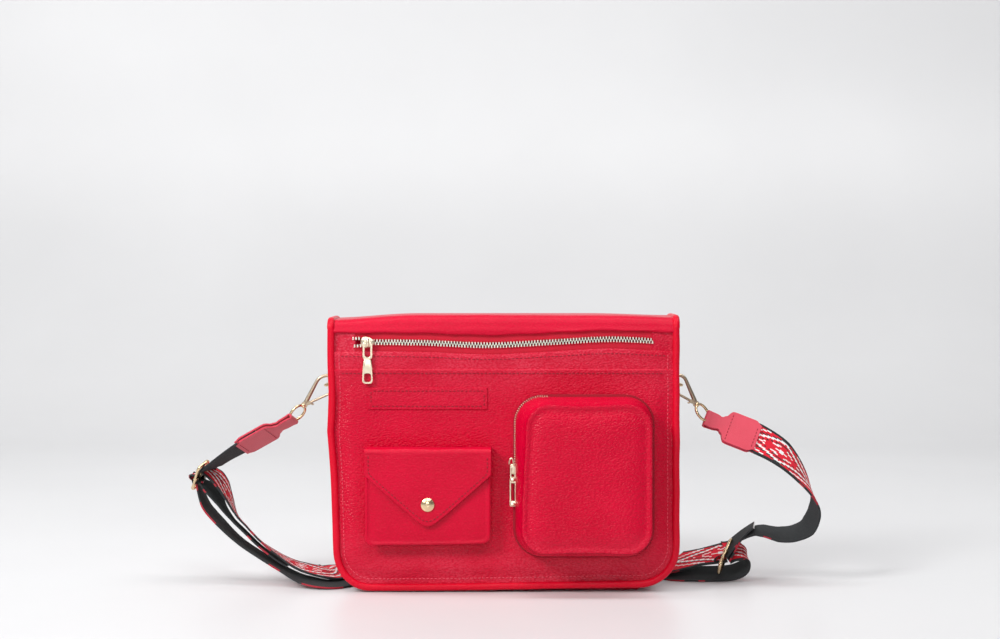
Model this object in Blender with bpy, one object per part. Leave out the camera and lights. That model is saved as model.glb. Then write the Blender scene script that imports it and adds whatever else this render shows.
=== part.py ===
"""Red leather flap satchel with a zip pocket, an envelope pocket and a box pocket on its flap, and a
detachable crossbody strap of patterned webbing. Metres, +Z up, front faces -Y, origin under the base."""

import math

import bmesh
import bpy
from mathutils import Matrix, Vector

# Driving dimensions of the pouch
FLAP_WIDTH = 0.320
POUCH_WIDTH = 0.296
POUCH_FRONT = -0.028
POUCH_BACK = 0.0306
POUCH_MOUTH = 0.215
CORNER_RADIUS = 0.037
LEATHER = 0.0024
FABRIC = 0.0008
GAP = 0.0003
BINDING_WIDTH = 0.0078
BINDING_DEPTH = 0.0062
BACK_BINDING_WIDTH = 0.006
BOARD_THICKNESS = 0.0018
BOARD_HALF_LENGTH = 0.100

# Flap: roll over the top and the front that hangs from it
FOLD_HEIGHT = 0.240
ROLL_RISE = 0.011
ROLL_RADIUS = 0.0095
FLAP_FRONT = -0.0372
FLAP_FOOT = 0.001
LIP_HEIGHT = 0.00525
ZIP_WINDOW = 0.0165
FACING_HEIGHT = 0.01775
POCKET_DEPTH = 0.136
POCKET_HEM = 0.004
ZIP_HALF_LENGTH = 0.137
TOOTH_ROW = 0.0026
TOOTH_DEPTH = 0.0024
ROW_GAP = 0.0014
TAPE = 0.0008
PATCH_LEFT = -0.123
PATCH_RIGHT = -0.015
PATCH_DROP = 0.0155
PATCH_HEIGHT = 0.019
PATCH_THICKNESS = 0.0012
MAGNET_RADIUS = 0.007
MAGNET_THICKNESS = 0.0015
MAGNET_SPREAD = 0.085
MAGNET_HEIGHT = 0.030

# Main zip slider and its pull
SLIDER_X = -0.123
SLIDER_LENGTH = 0.008
SLIDER_HEIGHT = 0.0105
SLIDER_PLATE = 0.0011
SLIDER_WEB = 0.0007
BRIDGE_WALL = 0.0009
LINK_WIRE = 0.0008
LINK_LENGTH = 0.015
PULL_TAB_LENGTH = 0.026
PULL_TAB_WIDTH = 0.0088
PULL_TAB_THICKNESS = 0.0018

# Envelope pocket
ENVELOPE_LEFT = -0.124
ENVELOPE_RIGHT = -0.012
ENVELOPE_FOOT = 0.042
ENVELOPE_TOP = 0.130
ENVELOPE_DEPTH = 0.012
ENVELOPE_WALL = 0.0016
ENVELOPE_CORNER = 0.006
FLAP_STRAIGHT = 0.0225
FLAP_TIP = 0.0625
FLAP_TIP_RADIUS = 0.011
SNAP_SPACE = 0.0022
SNAP_RADIUS = 0.00625
SNAP_HEIGHT = 0.0816
SNAP_INNER_RADIUS = 0.0045

# Box pocket
BOX_LEFT = 0.011
BOX_RIGHT = 0.1345
BOX_FOOT = 0.034
BOX_TOP = 0.177
BOX_DEPTH = 0.034
BOX_CORNER = 0.024
BOX_TAPER = 0.0055
BOX_LEAN = (0.0022, 0.0008)
BOX_WALL = 0.002
BOX_TAPE_THICKNESS = 0.0016
BOX_TAPE_WIDTH = 0.006
BOX_SLIDER_HEIGHT = 0.112
BOX_SLIDER_SIZE = (0.0045, 0.0042, 0.009)
BOX_PULL_LENGTH = 0.038

# Side tabs, D-rings and hooks
TAB_WIDTH = 0.020
TAB_TOP = 0.190
TAB_LENGTH = 0.045
TAB_THICKNESS = 0.003
RING_WIRE = 0.0016
RING_WIDTH = 0.025
RING_REACH = 0.0122
RING_DROP = 0.0028
HOOKS = {
    "left": ((0.1845, 0.1665), (0.1712, 0.1918), (0.1612, 0.1950), (0.1612, 0.1770)),
    "right": ((0.1785, 0.1675), (0.1678, 0.1925), (0.1612, 0.1950), (0.1612, 0.1772)),
}
HOOK_WIRE = 0.0017
GATE_WIRE = 0.0013
EYE_WIRE = 0.0015
EYE_LENGTH = 0.014
EYE_WIDTH = 0.014

# Strap
WEBBING_WIDTH = 0.032
WEBBING_THICKNESS = 0.0016
STRAP_END_THICKNESS = 0.0046
STRAP_END_WIDTH = 0.034
STRAP_NECK_WIDTH = 0.013
SLIDE_LENGTH = 0.038
SLIDE_WIDTH = 0.016
SLIDE_THICKNESS = 0.0026
SLIDE_BAR = 0.0028
ROUTE_STEP = 3

# Colours: red, green, blue, roughness, metallic
FINISHES = {
    "red_leather": (0.62, 0.012, 0.045, 0.45, 0.0),
    "red_strap_leather": (0.66, 0.06, 0.11, 0.45, 0.0),
    "gold": (0.83, 0.69, 0.42, 0.25, 1.0),
    "steel": (0.70, 0.66, 0.58, 0.3, 1.0),
    "zip_tape": (0.42, 0.01, 0.03, 0.85, 0.0),
    "lining_cloth": (0.03, 0.03, 0.035, 0.9, 0.0),
    "board": (0.35, 0.30, 0.24, 0.9, 0.0),
    "webbing": (0.45, 0.03, 0.05, 0.85, 0.0),
    "black_webbing": (0.02, 0.02, 0.022, 0.85, 0.0),
}

ARC_STEPS = 8


def clear_scene():
    for obj in list(bpy.data.objects):
        bpy.data.objects.remove(obj, do_unlink=True)


def finish(name):
    if name in bpy.data.materials:
        return bpy.data.materials[name]
    red, green, blue, roughness, metallic = FINISHES[name]
    made = bpy.data.materials.new(name)
    made.use_nodes = True
    shader = made.node_tree.nodes["Principled BSDF"]
    shader.inputs["Base Color"].default_value = (red, green, blue, 1.0)
    shader.inputs["Roughness"].default_value = roughness
    shader.inputs["Metallic"].default_value = metallic
    return made


def add(name, data, look):
    obj = bpy.data.objects.new(name, data)
    data.materials.append(finish(look))
    bpy.data.collections["satchel"].objects.link(obj)
    return obj


# Planes for flat outlines: the two axes of the outline, then the axis it is extruded along
PLANES = {
    "XZ": Matrix(((1, 0, 0), (0, 0, -1), (0, 1, 0))).to_4x4(),
    "YZ": Matrix(((0, 0, 1), (1, 0, 0), (0, 1, 0))).to_4x4(),
    "XY": Matrix.Identity(4),
}


def extrusion(name, outlines, plane, low, high, look, place=None):
    """Flat outlines, the first one outside and the others holes, extruded from low to high."""
    curve = bpy.data.curves.new(name, "CURVE")
    curve.dimensions = "2D"
    curve.fill_mode = "BOTH"
    curve.extrude = abs(high - low) / 2
    for outline in outlines:
        spline = curve.splines.new("POLY")
        spline.points.add(len(outline) - 1)
        spline.use_cyclic_u = True
        for point, (across, up) in zip(spline.points, outline):
            point.co = (across, up, 0, 1)
    obj = add(name, curve, look)
    middle = (low + high) / 2
    offset = {"XZ": (0, middle, 0), "YZ": (middle, 0, 0), "XY": (0, 0, middle)}[plane]
    obj.matrix_world = (place or Matrix.Identity(4)) @ Matrix.Translation(offset) @ PLANES[plane]
    return obj


def arc(centre, radius, start, end, steps=ARC_STEPS):
    turns = [math.radians(start + (end - start) * i / steps) for i in range(steps + 1)]
    return [(centre[0] + radius * math.cos(a), centre[1] + radius * math.sin(a)) for a in turns]


def rounded(left, foot, right, top, radius):
    return (
        arc((left + radius, foot + radius), radius, 180, 270)
        + arc((right - radius, foot + radius), radius, 270, 360)
        + arc((right - radius, top - radius), radius, 0, 90)
        + arc((left + radius, top - radius), radius, 90, 180)
    )


def u_line(half, foot, top, radius):
    """Open U from the top left down round two corners to the top right."""
    return (
        [(-half, top)]
        + arc((-half + radius, foot + radius), radius, 180, 270)
        + arc((half - radius, foot + radius), radius, 270, 360)
        + [(half, top)]
    )


def u_panel(half, foot, top, radius):
    return [u_line(half, foot, top, radius)]


def u_band(half, foot, top, radius, width):
    inner = u_line(half - width, foot + width, top, radius - width)
    return [u_line(half, foot, top, radius) + inner[::-1]]


def rectangle(left, foot, right, top):
    return [(left, foot), (right, foot), (right, top), (left, top)]


def shifted(outline, across, up):
    return [(a + across, b + up) for a, b in outline]


def disc(name, centre, radius, front, back, look, dome=0.0):
    """Round plate that faces -Y, with its front edge drawn in by dome."""
    made = bmesh.new()
    bmesh.ops.create_cone(
        made, cap_ends=True, segments=24, radius1=radius, radius2=radius - dome, depth=back - front
    )
    mesh = bpy.data.meshes.new(name)
    made.to_mesh(mesh)
    made.free()
    obj = add(name, mesh, look)
    obj.location = (centre[0], (front + back) / 2, centre[1])
    obj.rotation_euler = (math.pi / 2, 0, 0)
    return obj


def wire(name, points, radius, look, closed=False, sides=1):
    curve = bpy.data.curves.new(name, "CURVE")
    curve.dimensions = "3D"
    curve.bevel_depth = radius
    curve.bevel_resolution = sides
    curve.use_fill_caps = True
    spline = curve.splines.new("POLY")
    spline.points.add(len(points) - 1)
    spline.use_cyclic_u = closed
    for point, place in zip(spline.points, points):
        point.co = (*place, 1)
    return add(name, curve, look)


def loft(name, rings, look, closed=False):
    """Quads between rings of points, with end caps unless the rings close on themselves."""
    made = bmesh.new()
    loops = [[made.verts.new(point) for point in ring] for ring in rings]
    count = len(loops[0])
    last = len(loops) if closed else len(loops) - 1
    for i in range(last):
        for j in range(count):
            near, far = loops[i], loops[(i + 1) % len(loops)]
            made.faces.new((near[j], near[(j + 1) % count], far[(j + 1) % count], far[j]))
    if not closed:
        made.faces.new(loops[0][::-1])
        made.faces.new(loops[-1])
    bmesh.ops.recalc_face_normals(made, faces=made.faces)
    mesh = bpy.data.meshes.new(name)
    made.to_mesh(mesh)
    made.free()
    return add(name, mesh, look)


def smooth_route(stations, step=ROUTE_STEP):
    """Points and width directions on a smooth curve through the hand-chosen stations."""
    rows = [Vector(place) for place, _ in stations]
    sides = [Vector(side).normalized() for _, side in stations]
    found = []
    for i in range(len(rows) - 1):
        before, after = max(i - 1, 0), min(i + 2, len(rows) - 1)
        for k in range(step):
            t = k / step
            blend = (
                -t + 2 * t**2 - t**3,
                2 - 5 * t**2 + 3 * t**3,
                t + 4 * t**2 - 3 * t**3,
                -(t**2) + t**3,
            )
            corners = (rows[before], rows[i], rows[i + 1], rows[after])
            place = sum((c * b / 2 for c, b in zip(corners, blend)), Vector())
            found.append((place, sides[i].lerp(sides[i + 1], t).normalized()))
    found.append((rows[-1], sides[-1]))
    return found


def ribbon(name, route, widths, thickness, look):
    """Flat band along a route: a rectangle across each point, widths given for each one."""
    rings = []
    for i, (place, side) in enumerate(route):
        ahead = route[min(i + 1, len(route) - 1)][0] - route[max(i - 1, 0)][0]
        side = (side - ahead * side.dot(ahead) / ahead.length_squared).normalized()
        normal = ahead.cross(side).normalized()
        across, up = side * widths[i] / 2, normal * thickness / 2
        rings.append([place - across - up, place + across - up, place + across + up, place - across + up])
    return loft(name, rings, look)


# Depths worked out from the driving dimensions
FLAP_BACK = FLAP_FRONT + LEATHER
BINDING_FRONT = (FLAP_FRONT + FLAP_BACK - BINDING_DEPTH) / 2
BINDING_BACK = BINDING_FRONT + BINDING_DEPTH
PANEL_HALF = FLAP_WIDTH / 2 - BINDING_WIDTH - GAP
ZIP_DEPTH = (FLAP_FRONT + FLAP_BACK) / 2
WINDOW_TOP = FOLD_HEIGHT - LIP_HEIGHT
ZIP_HEIGHT = WINDOW_TOP - ZIP_WINDOW / 2
WINDOW_FOOT = WINDOW_TOP - ZIP_WINDOW
LAP_SEAM_HEIGHT = WINDOW_FOOT - FACING_HEIGHT
POUCH_HALF = POUCH_WIDTH / 2


def make_pouch():
    half = POUCH_HALF
    inner_half = half - BACK_BINDING_WIDTH - GAP
    radius = CORNER_RADIUS
    back_inset = BACK_BINDING_WIDTH + GAP
    top = FOLD_HEIGHT - GAP
    panel_front = POUCH_BACK - LEATHER
    outline = u_panel(inner_half, back_inset, top, radius - back_inset)
    extrusion("back_panel", outline, "XZ", panel_front, POUCH_BACK, "red_leather")
    binding_front = POUCH_BACK - BINDING_DEPTH + GAP
    band = u_band(half, 0.0, top, radius, BACK_BINDING_WIDTH)
    extrusion("back_binding", band, "XZ", binding_front, POUCH_BACK + 2 * GAP, "red_leather")
    front_back = POUCH_FRONT + LEATHER
    outline = u_panel(half, 0.0, POUCH_MOUTH, radius)
    extrusion("front_panel", outline, "XZ", POUCH_FRONT, front_back, "red_leather")
    gusset = (front_back + GAP, binding_front - GAP)
    band = u_band(half, 0.0, POUCH_MOUTH, radius, LEATHER)
    extrusion("gusset", band, "XZ", *gusset, "red_leather")
    board_foot = LEATHER + GAP
    board = rectangle(-BOARD_HALF_LENGTH, board_foot, BOARD_HALF_LENGTH, board_foot + BOARD_THICKNESS)
    extrusion("base_board", [board], "XZ", *gusset, "board")
    make_lining(front_back + 2 * GAP, panel_front - GAP, board_foot + BOARD_THICKNESS + GAP)


def make_lining(front, back, foot):
    """Open-topped fabric liner: outer and inner loops of the pouch's hollow, front and back sheets fused."""
    inset = max(BACK_BINDING_WIDTH + 2 * GAP, foot)
    half, radius = POUCH_HALF - inset, CORNER_RADIUS - inset
    outer = u_line(half, inset, POUCH_MOUTH, radius)
    inner = u_line(half - FABRIC, inset + FABRIC, POUCH_MOUTH, radius - FABRIC)
    made = bmesh.new()
    rows = []
    for line, depth in ((outer, front), (outer, back), (inner, back - FABRIC), (inner, front + FABRIC)):
        rows.append([made.verts.new((x, depth, z)) for x, z in line])
    outer_front, outer_back, inner_back, inner_front = rows
    for near, far in ((outer_front, outer_back), (inner_back, inner_front)):
        for j in range(len(near) - 1):
            made.faces.new((near[j], near[j + 1], far[j + 1], far[j]))
    made.faces.new(outer_front)
    made.faces.new(outer_back[::-1])
    made.faces.new(inner_front[::-1])
    made.faces.new(inner_back)
    left, right = [row[0] for row in rows], [row[-1] for row in rows]
    made.faces.new((left[0], right[0], right[3], left[3]))
    made.faces.new((right[0], right[1], right[2], right[3]))
    made.faces.new((right[1], left[1], left[2], right[2]))
    made.faces.new((left[1], left[0], left[3], left[2]))
    bmesh.ops.recalc_face_normals(made, faces=made.faces)
    mesh = bpy.data.meshes.new("lining")
    made.to_mesh(mesh)
    made.free()
    add("lining", mesh, "lining_cloth")


def roll_line(offset):
    """Section of the roll over the top, from the back fold to the front fold, drawn in by offset."""
    back, front = POUCH_BACK - offset, FLAP_FRONT + offset
    top, radius = FOLD_HEIGHT + ROLL_RISE - offset, ROLL_RADIUS - offset
    foot = FOLD_HEIGHT + GAP
    return (
        [(back, foot)]
        + arc((back - radius, top - radius), radius, 0, 90)
        + arc((front + radius, top - radius), radius, 90, 180)
        + [(front, foot)]
    )


def make_flap_top():
    section = [roll_line(0.0) + roll_line(LEATHER)[::-1]]
    extrusion("flap_roll", section, "YZ", -PANEL_HALF, PANEL_HALF, "red_leather")
    proud = (BINDING_DEPTH - LEATHER) / 2
    edge = [roll_line(-proud / 2) + roll_line(LEATHER + proud)[::-1]]
    for side, sign in (("left", -1), ("right", 1)):
        ends = sorted((sign * (PANEL_HALF + GAP), sign * FLAP_WIDTH / 2))
        extrusion(f"flap_roll_binding_{side}", edge, "YZ", *ends, "red_leather")


def make_flap_front():
    half = PANEL_HALF
    top = FOLD_HEIGHT - GAP
    leather = (FLAP_FRONT, FLAP_BACK)
    lip = rectangle(-half, WINDOW_TOP, half, top)
    extrusion("zip_lip", [lip], "XZ", *leather, "red_leather")
    for side, sign in (("left", -1), ("right", 1)):
        ends = sorted((sign * (ZIP_HALF_LENGTH + GAP), sign * half))
        patch = rectangle(ends[0], WINDOW_FOOT + GAP, ends[1], WINDOW_TOP - GAP)
        extrusion(f"zip_end_{side}", [patch], "XZ", *leather, "red_leather")
    facing = rectangle(-half, LAP_SEAM_HEIGHT + GAP, half, WINDOW_FOOT)
    extrusion("zip_facing", [facing], "XZ", *leather, "red_leather")
    inset = BINDING_WIDTH + GAP
    outline = u_panel(half, FLAP_FOOT + inset, LAP_SEAM_HEIGHT, CORNER_RADIUS - inset)
    extrusion("flap_panel", outline, "XZ", *leather, "red_leather")
    band = u_band(FLAP_WIDTH / 2, FLAP_FOOT, top, CORNER_RADIUS, BINDING_WIDTH)
    extrusion("flap_binding", band, "XZ", BINDING_FRONT, BINDING_BACK, "red_leather")
    sheet_front = FLAP_BACK + 2 * GAP
    pocket_top = WINDOW_FOOT - POCKET_HEM
    pocket = rectangle(-half + inset, pocket_top - POCKET_DEPTH, half - inset, pocket_top)
    extrusion("zip_pocket_back", [pocket], "XZ", sheet_front, sheet_front + FABRIC, "lining_cloth")
    lining_front = sheet_front + FABRIC + GAP
    lining = u_panel(half - GAP, FLAP_FOOT + inset, WINDOW_FOOT, CORNER_RADIUS - inset)
    extrusion("flap_lining", lining, "XZ", lining_front, lining_front + FABRIC, "lining_cloth")
    patch_top = LAP_SEAM_HEIGHT - PATCH_DROP
    patch = rectangle(PATCH_LEFT, patch_top - PATCH_HEIGHT, PATCH_RIGHT, patch_top)
    patch_back = FLAP_FRONT - GAP
    extrusion("sewn_patch", [patch], "XZ", patch_back - PATCH_THICKNESS, patch_back, "red_leather")
    for side, sign in (("left", -1), ("right", 1)):
        place = (sign * MAGNET_SPREAD, MAGNET_HEIGHT)
        back = lining_front + FABRIC + GAP
        disc(f"flap_magnet_{side}", place, MAGNET_RADIUS, back, back + MAGNET_THICKNESS, "steel")
        front = POUCH_FRONT - GAP
        disc(f"magnet_socket_{side}", place, MAGNET_RADIUS, front - MAGNET_THICKNESS, front, "steel")


def make_main_zip():
    """Each half is a woven tape with its row of teeth; the slider's thin web runs between the rows."""
    for half, sign in (("upper", 1), ("lower", -1)):
        root = ZIP_HEIGHT + sign * ROW_GAP / 2
        inner = root + sign * TOOTH_ROW
        outer = ZIP_HEIGHT + sign * (ZIP_WINDOW / 2 - GAP)
        thick, thin = TOOTH_DEPTH / 2, TAPE / 2
        section = [(-thick, root), (thick, root), (thick, inner), (thin, inner)]
        section += [(thin, outer), (-thin, outer), (-thin, inner), (-thick, inner)]
        section = shifted(section, ZIP_DEPTH, 0)
        extrusion(f"zip_{half}", [section], "YZ", -ZIP_HALF_LENGTH, ZIP_HALF_LENGTH, "zip_tape")


PLATE_FACE = TOOTH_DEPTH / 2 + GAP
BRIDGE_HOLE = 2 * (LINK_WIRE + GAP)
LINK_DEPTH = ZIP_DEPTH - PLATE_FACE - SLIDER_PLATE - BRIDGE_HOLE / 2
LINK_FOOT = ZIP_HEIGHT - LINK_LENGTH


def make_zip_slider():
    """Two plates and a web round the teeth, and a bridge whose tunnel holds the pull link's bar."""
    face, plate, half, web = PLATE_FACE, SLIDER_PLATE, SLIDER_HEIGHT / 2, SLIDER_WEB / 2
    bridge = BRIDGE_HOLE / 2 + BRIDGE_WALL
    front = -face - plate
    outline = [(front, -half), (-face, -half), (-face, -web), (face, -web), (face, -half)]
    outline += [(face + plate, -half), (face + plate, half), (face, half), (face, web)]
    outline += [(-face, web), (-face, half), (front, half), (front, bridge)]
    outline += [(front - BRIDGE_HOLE - BRIDGE_WALL, bridge), (front - BRIDGE_HOLE - BRIDGE_WALL, -bridge)]
    outline += [(front, -bridge)]
    hole = rectangle(front - BRIDGE_HOLE, -BRIDGE_HOLE / 2, front, BRIDGE_HOLE / 2)
    hole = shifted(hole, -GAP / 3, 0)
    outlines = [shifted(o, ZIP_DEPTH, ZIP_HEIGHT) for o in (outline, hole)]
    ends = SLIDER_X - SLIDER_LENGTH / 2, SLIDER_X + SLIDER_LENGTH / 2
    extrusion("zip_slider", outlines, "YZ", *ends, "gold")
    reach = max(SLIDER_LENGTH, PULL_TAB_WIDTH) / 2 + LINK_WIRE + GAP
    corners = [(-reach, ZIP_HEIGHT), (reach, ZIP_HEIGHT), (reach, LINK_FOOT), (-reach, LINK_FOOT)]
    loop = [(SLIDER_X + x, LINK_DEPTH, z) for x, z in corners]
    wire("pull_link", loop, LINK_WIRE, "gold", closed=True)
    make_pull_tab()


def make_pull_tab():
    """Plate whose rolled top turns on the link's lower bar, inside the link."""
    eye = LINK_WIRE + GAP
    thick = PULL_TAB_THICKNESS / 2
    collar = eye + BRIDGE_WALL
    start = math.degrees(math.asin(thick / collar))
    ring = arc((0, 0), collar, -90 + start, 270 - start, 2 * ARC_STEPS)
    profile = ring + [(-thick, -PULL_TAB_LENGTH), (thick, -PULL_TAB_LENGTH)]
    hole = arc((0, 0), eye, 0, 337.5, 15)
    outlines = [shifted(o, LINK_DEPTH, LINK_FOOT) for o in (profile, hole)]
    half = PULL_TAB_WIDTH / 2
    extrusion("pull_tab", outlines, "YZ", SLIDER_X - half, SLIDER_X + half, "gold")


ENVELOPE_BACK = FLAP_FRONT - GAP
ENVELOPE_FACE = ENVELOPE_BACK - ENVELOPE_DEPTH
ENVELOPE_FRONT = ENVELOPE_FACE - ENVELOPE_WALL
ENVELOPE_FLAP_BACK = ENVELOPE_FRONT - SNAP_SPACE
ENVELOPE_MIDDLE = (ENVELOPE_LEFT + ENVELOPE_RIGHT) / 2


def make_envelope_pocket():
    half = (ENVELOPE_RIGHT - ENVELOPE_LEFT) / 2
    top = ENVELOPE_TOP
    band = u_band(half, ENVELOPE_FOOT, top, ENVELOPE_CORNER, ENVELOPE_WALL)
    band = [shifted(line, ENVELOPE_MIDDLE, 0) for line in band]
    extrusion("envelope_gusset", band, "XZ", ENVELOPE_FACE + GAP, ENVELOPE_BACK, "red_leather")
    front = u_panel(half, ENVELOPE_FOOT, top, ENVELOPE_CORNER)
    front = [shifted(line, ENVELOPE_MIDDLE, 0) for line in front]
    extrusion("envelope_front", front, "XZ", ENVELOPE_FRONT, ENVELOPE_FACE, "red_leather")
    cover = rectangle(ENVELOPE_LEFT, top + GAP, ENVELOPE_RIGHT, top + GAP + ENVELOPE_WALL)
    flap_front = ENVELOPE_FLAP_BACK - ENVELOPE_WALL
    extrusion("envelope_cover", [cover], "XZ", flap_front, ENVELOPE_BACK, "red_leather")
    shoulder = top - FLAP_STRAIGHT
    slope = math.degrees(math.atan2(shoulder - FLAP_TIP, half))
    tip = arc((ENVELOPE_MIDDLE, FLAP_TIP + FLAP_TIP_RADIUS), FLAP_TIP_RADIUS, 270 - slope, 270 + slope)
    outline = [(ENVELOPE_LEFT, top), (ENVELOPE_LEFT, shoulder)] + tip
    outline += [(ENVELOPE_RIGHT, shoulder), (ENVELOPE_RIGHT, top)]
    extrusion("envelope_flap", [outline], "XZ", flap_front, ENVELOPE_FLAP_BACK, "red_leather")
    place = (ENVELOPE_MIDDLE, SNAP_HEIGHT)
    cap_back = flap_front - GAP
    disc("snap_cap", place, SNAP_RADIUS, cap_back - SNAP_RADIUS / 4, cap_back, "gold", SNAP_RADIUS / 3)
    stud = (SNAP_SPACE - 3 * GAP) / 2
    inner = ENVELOPE_FRONT - GAP
    disc("snap_stud", place, SNAP_INNER_RADIUS, inner - stud, inner, "steel")
    inner = ENVELOPE_FLAP_BACK + GAP
    disc("snap_socket", place, SNAP_INNER_RADIUS, inner, inner + stud, "steel")


BOX_BASE = FLAP_FRONT - GAP
BOX_TAPE_FACE = BOX_BASE - BOX_TAPE_THICKNESS
BOX_BAND_BACK = BOX_TAPE_FACE - GAP
BOX_FACE = BOX_BASE - BOX_DEPTH


def box_outline(inset):
    edges = (BOX_LEFT + inset, BOX_FOOT + inset, BOX_RIGHT - inset, BOX_TOP - inset)
    return rounded(*edges, BOX_CORNER - inset)


def make_box_pocket():
    tape = [box_outline(0.0), box_outline(BOX_TAPE_WIDTH)]
    extrusion("box_zip_tape", tape, "XZ", BOX_TAPE_FACE, BOX_BASE, "zip_tape")
    front_back = BOX_FACE + BOX_WALL
    loops = (
        (box_outline(0.0), BOX_BAND_BACK),
        (shifted(box_outline(BOX_TAPER), *BOX_LEAN), front_back + GAP),
        (shifted(box_outline(BOX_TAPER + BOX_WALL), *BOX_LEAN), front_back + GAP),
        (box_outline(BOX_WALL), BOX_BAND_BACK),
    )
    rings = [[(x, depth, z) for x, z in outline] for outline, depth in loops]
    loft("box_band", rings, "red_leather", closed=True)
    front = shifted(box_outline(BOX_TAPER), *BOX_LEAN)
    extrusion("box_front", [front], "XZ", BOX_FACE, front_back, "red_leather")
    wide, deep, tall = BOX_SLIDER_SIZE
    right = BOX_LEFT - GAP
    low = BOX_SLIDER_HEIGHT - tall / 2
    back = BOX_BASE
    block = rectangle(right - wide, low, right, low + tall)
    extrusion("box_zip_slider", [block], "XZ", back - deep, back, "gold")
    pull = rectangle(right - wide, low + tall - BOX_PULL_LENGTH, right, low + tall)
    face = back - deep - GAP
    extrusion("box_zip_pull", [pull], "XZ", face - PULL_TAB_THICKNESS, face, "gold")


RING_BAR_X = POUCH_HALF + GAP + TAB_THICKNESS + RING_WIRE + GAP
RING_BAR_Z = TAB_TOP - RING_WIRE - 2 * GAP


def make_side(side, sign):
    """Leather tab sewn up the gusset, the D-ring in its turned-over top, and the strap's snap hook."""
    back = POUCH_HALF + GAP
    loop = RING_WIRE + GAP
    turn = [(RING_BAR_X + (loop + LEATHER / 2) * math.cos(a), RING_BAR_Z + (loop + LEATHER / 2) * math.sin(a))
            for a in [math.radians(200 - 20 * i) for i in range(12)]]
    foot = TAB_TOP - TAB_LENGTH
    inner = [(RING_BAR_X + loop * math.cos(a), RING_BAR_Z + loop * math.sin(a))
             for a in [math.radians(-20 + 20 * i) for i in range(11)]]
    outline = [(back, foot), (back, RING_BAR_Z)] + turn[2:] + inner
    outline += [(back + TAB_THICKNESS, RING_BAR_Z), (back + TAB_THICKNESS, foot)]
    outline = [(sign * x, z) for x, z in outline]
    extrusion(f"side_tab_{side}", [outline], "XZ", -TAB_WIDTH / 2, TAB_WIDTH / 2, "red_leather")
    half = RING_WIDTH / 2
    bow = RING_REACH - half
    down = Vector((sign * RING_REACH, 0, -RING_DROP)).normalized()
    start = Vector((sign * RING_BAR_X, 0, RING_BAR_Z))
    ring = [(-half, 0.0), (half, 0.0)] + [(y, bow + x) for x, y in arc((0, 0), half, 80, -80)]
    points = [start + down * reach + Vector((0, y, 0)) for y, reach in ring]
    wire(f"dring_{side}", points, RING_WIRE, "gold", closed=True)
    base, corner, nose, heel = (Vector((sign * x, 0, z)) for x, z in HOOKS[side])
    tip = nose.lerp(heel, 0.80)
    wire(f"hook_{side}", [base, corner, nose, tip], HOOK_WIRE, "gold")
    along = (heel - base).normalized()
    spread = along.cross((corner - base).normalized()).length
    pivot = base + along * (HOOK_WIRE + GATE_WIRE) / spread
    wire(f"gate_{side}", [pivot, heel - along * GATE_WIRE], GATE_WIRE, "gold")
    stem = ((nose + heel) / 2 - base).normalized()
    make_eye(side, base - stem * (EYE_WIRE + 3 * GAP), stem)


def make_eye(side, top, stem):
    across = Vector((0, 1, 0))
    half = EYE_WIDTH / 2
    outline = [(half * math.cos(a), -EYE_LENGTH / 2 + EYE_LENGTH / 2 * math.sin(a))
               for a in [math.radians(22.5 * i) for i in range(16)]]
    wire(f"swivel_eye_{side}", [top + across * x + stem * z for x, z in outline], EYE_WIRE, "gold", closed=True)


# Strap routes: places chosen by hand on the strap's middle line, each with the direction across it
LEFT_END = [((-0.1990, 0.0002, 0.1548), (-0.19, 0.9, 0.40)), ((-0.2440, 0.004, 0.1262), (-0.19, 0.9, 0.40))]
SHORT_END = [
    ((-0.2446, 0.0041, 0.1258), (-0.19, 0.9, 0.40)),
    ((-0.2590, 0.0047, 0.1165), (0.02, 0.80, 0.55)),
    ((-0.2722, 0.0070, 0.1046), (0.30, 0.60, 0.72)),
    ((-0.2775, 0.0126, 0.1018), (0.36, 0.55, 0.75)),
]
RIGHT_END = [((0.1915, -0.0003, 0.1543), (0.35, 0.54, 0.765)), ((0.2321, -0.006, 0.1368), (0.35, 0.54, 0.765))]
ARCH = [
    ((0.2327, -0.0061, 0.1365), (0.35, 0.54, 0.765)),
    ((0.2580, -0.006, 0.1225), (0.30, 0.70, 0.64)),
    ((0.2780, -0.004, 0.1000), (0.16, 0.92, 0.34)),
    ((0.2890, 0.0, 0.0790), (0.04, 0.98, 0.16)),
    ((0.2884, 0.004, 0.0612), (-0.02, 0.97, 0.20)),
    ((0.2762, 0.009, 0.0480), (0.0, 0.95, 0.30)),
    ((0.2584, 0.014, 0.0439), (0.0, 0.94, 0.34)),
    ((0.2450, 0.019, 0.0450), (0.05, 0.88, 0.46)),
    ((0.2330, 0.0225, 0.0400), (0.28, 0.82, 0.50)),
    ((0.2210, 0.0220, 0.0350), (0.36, 0.78, 0.51)),
]
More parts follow.
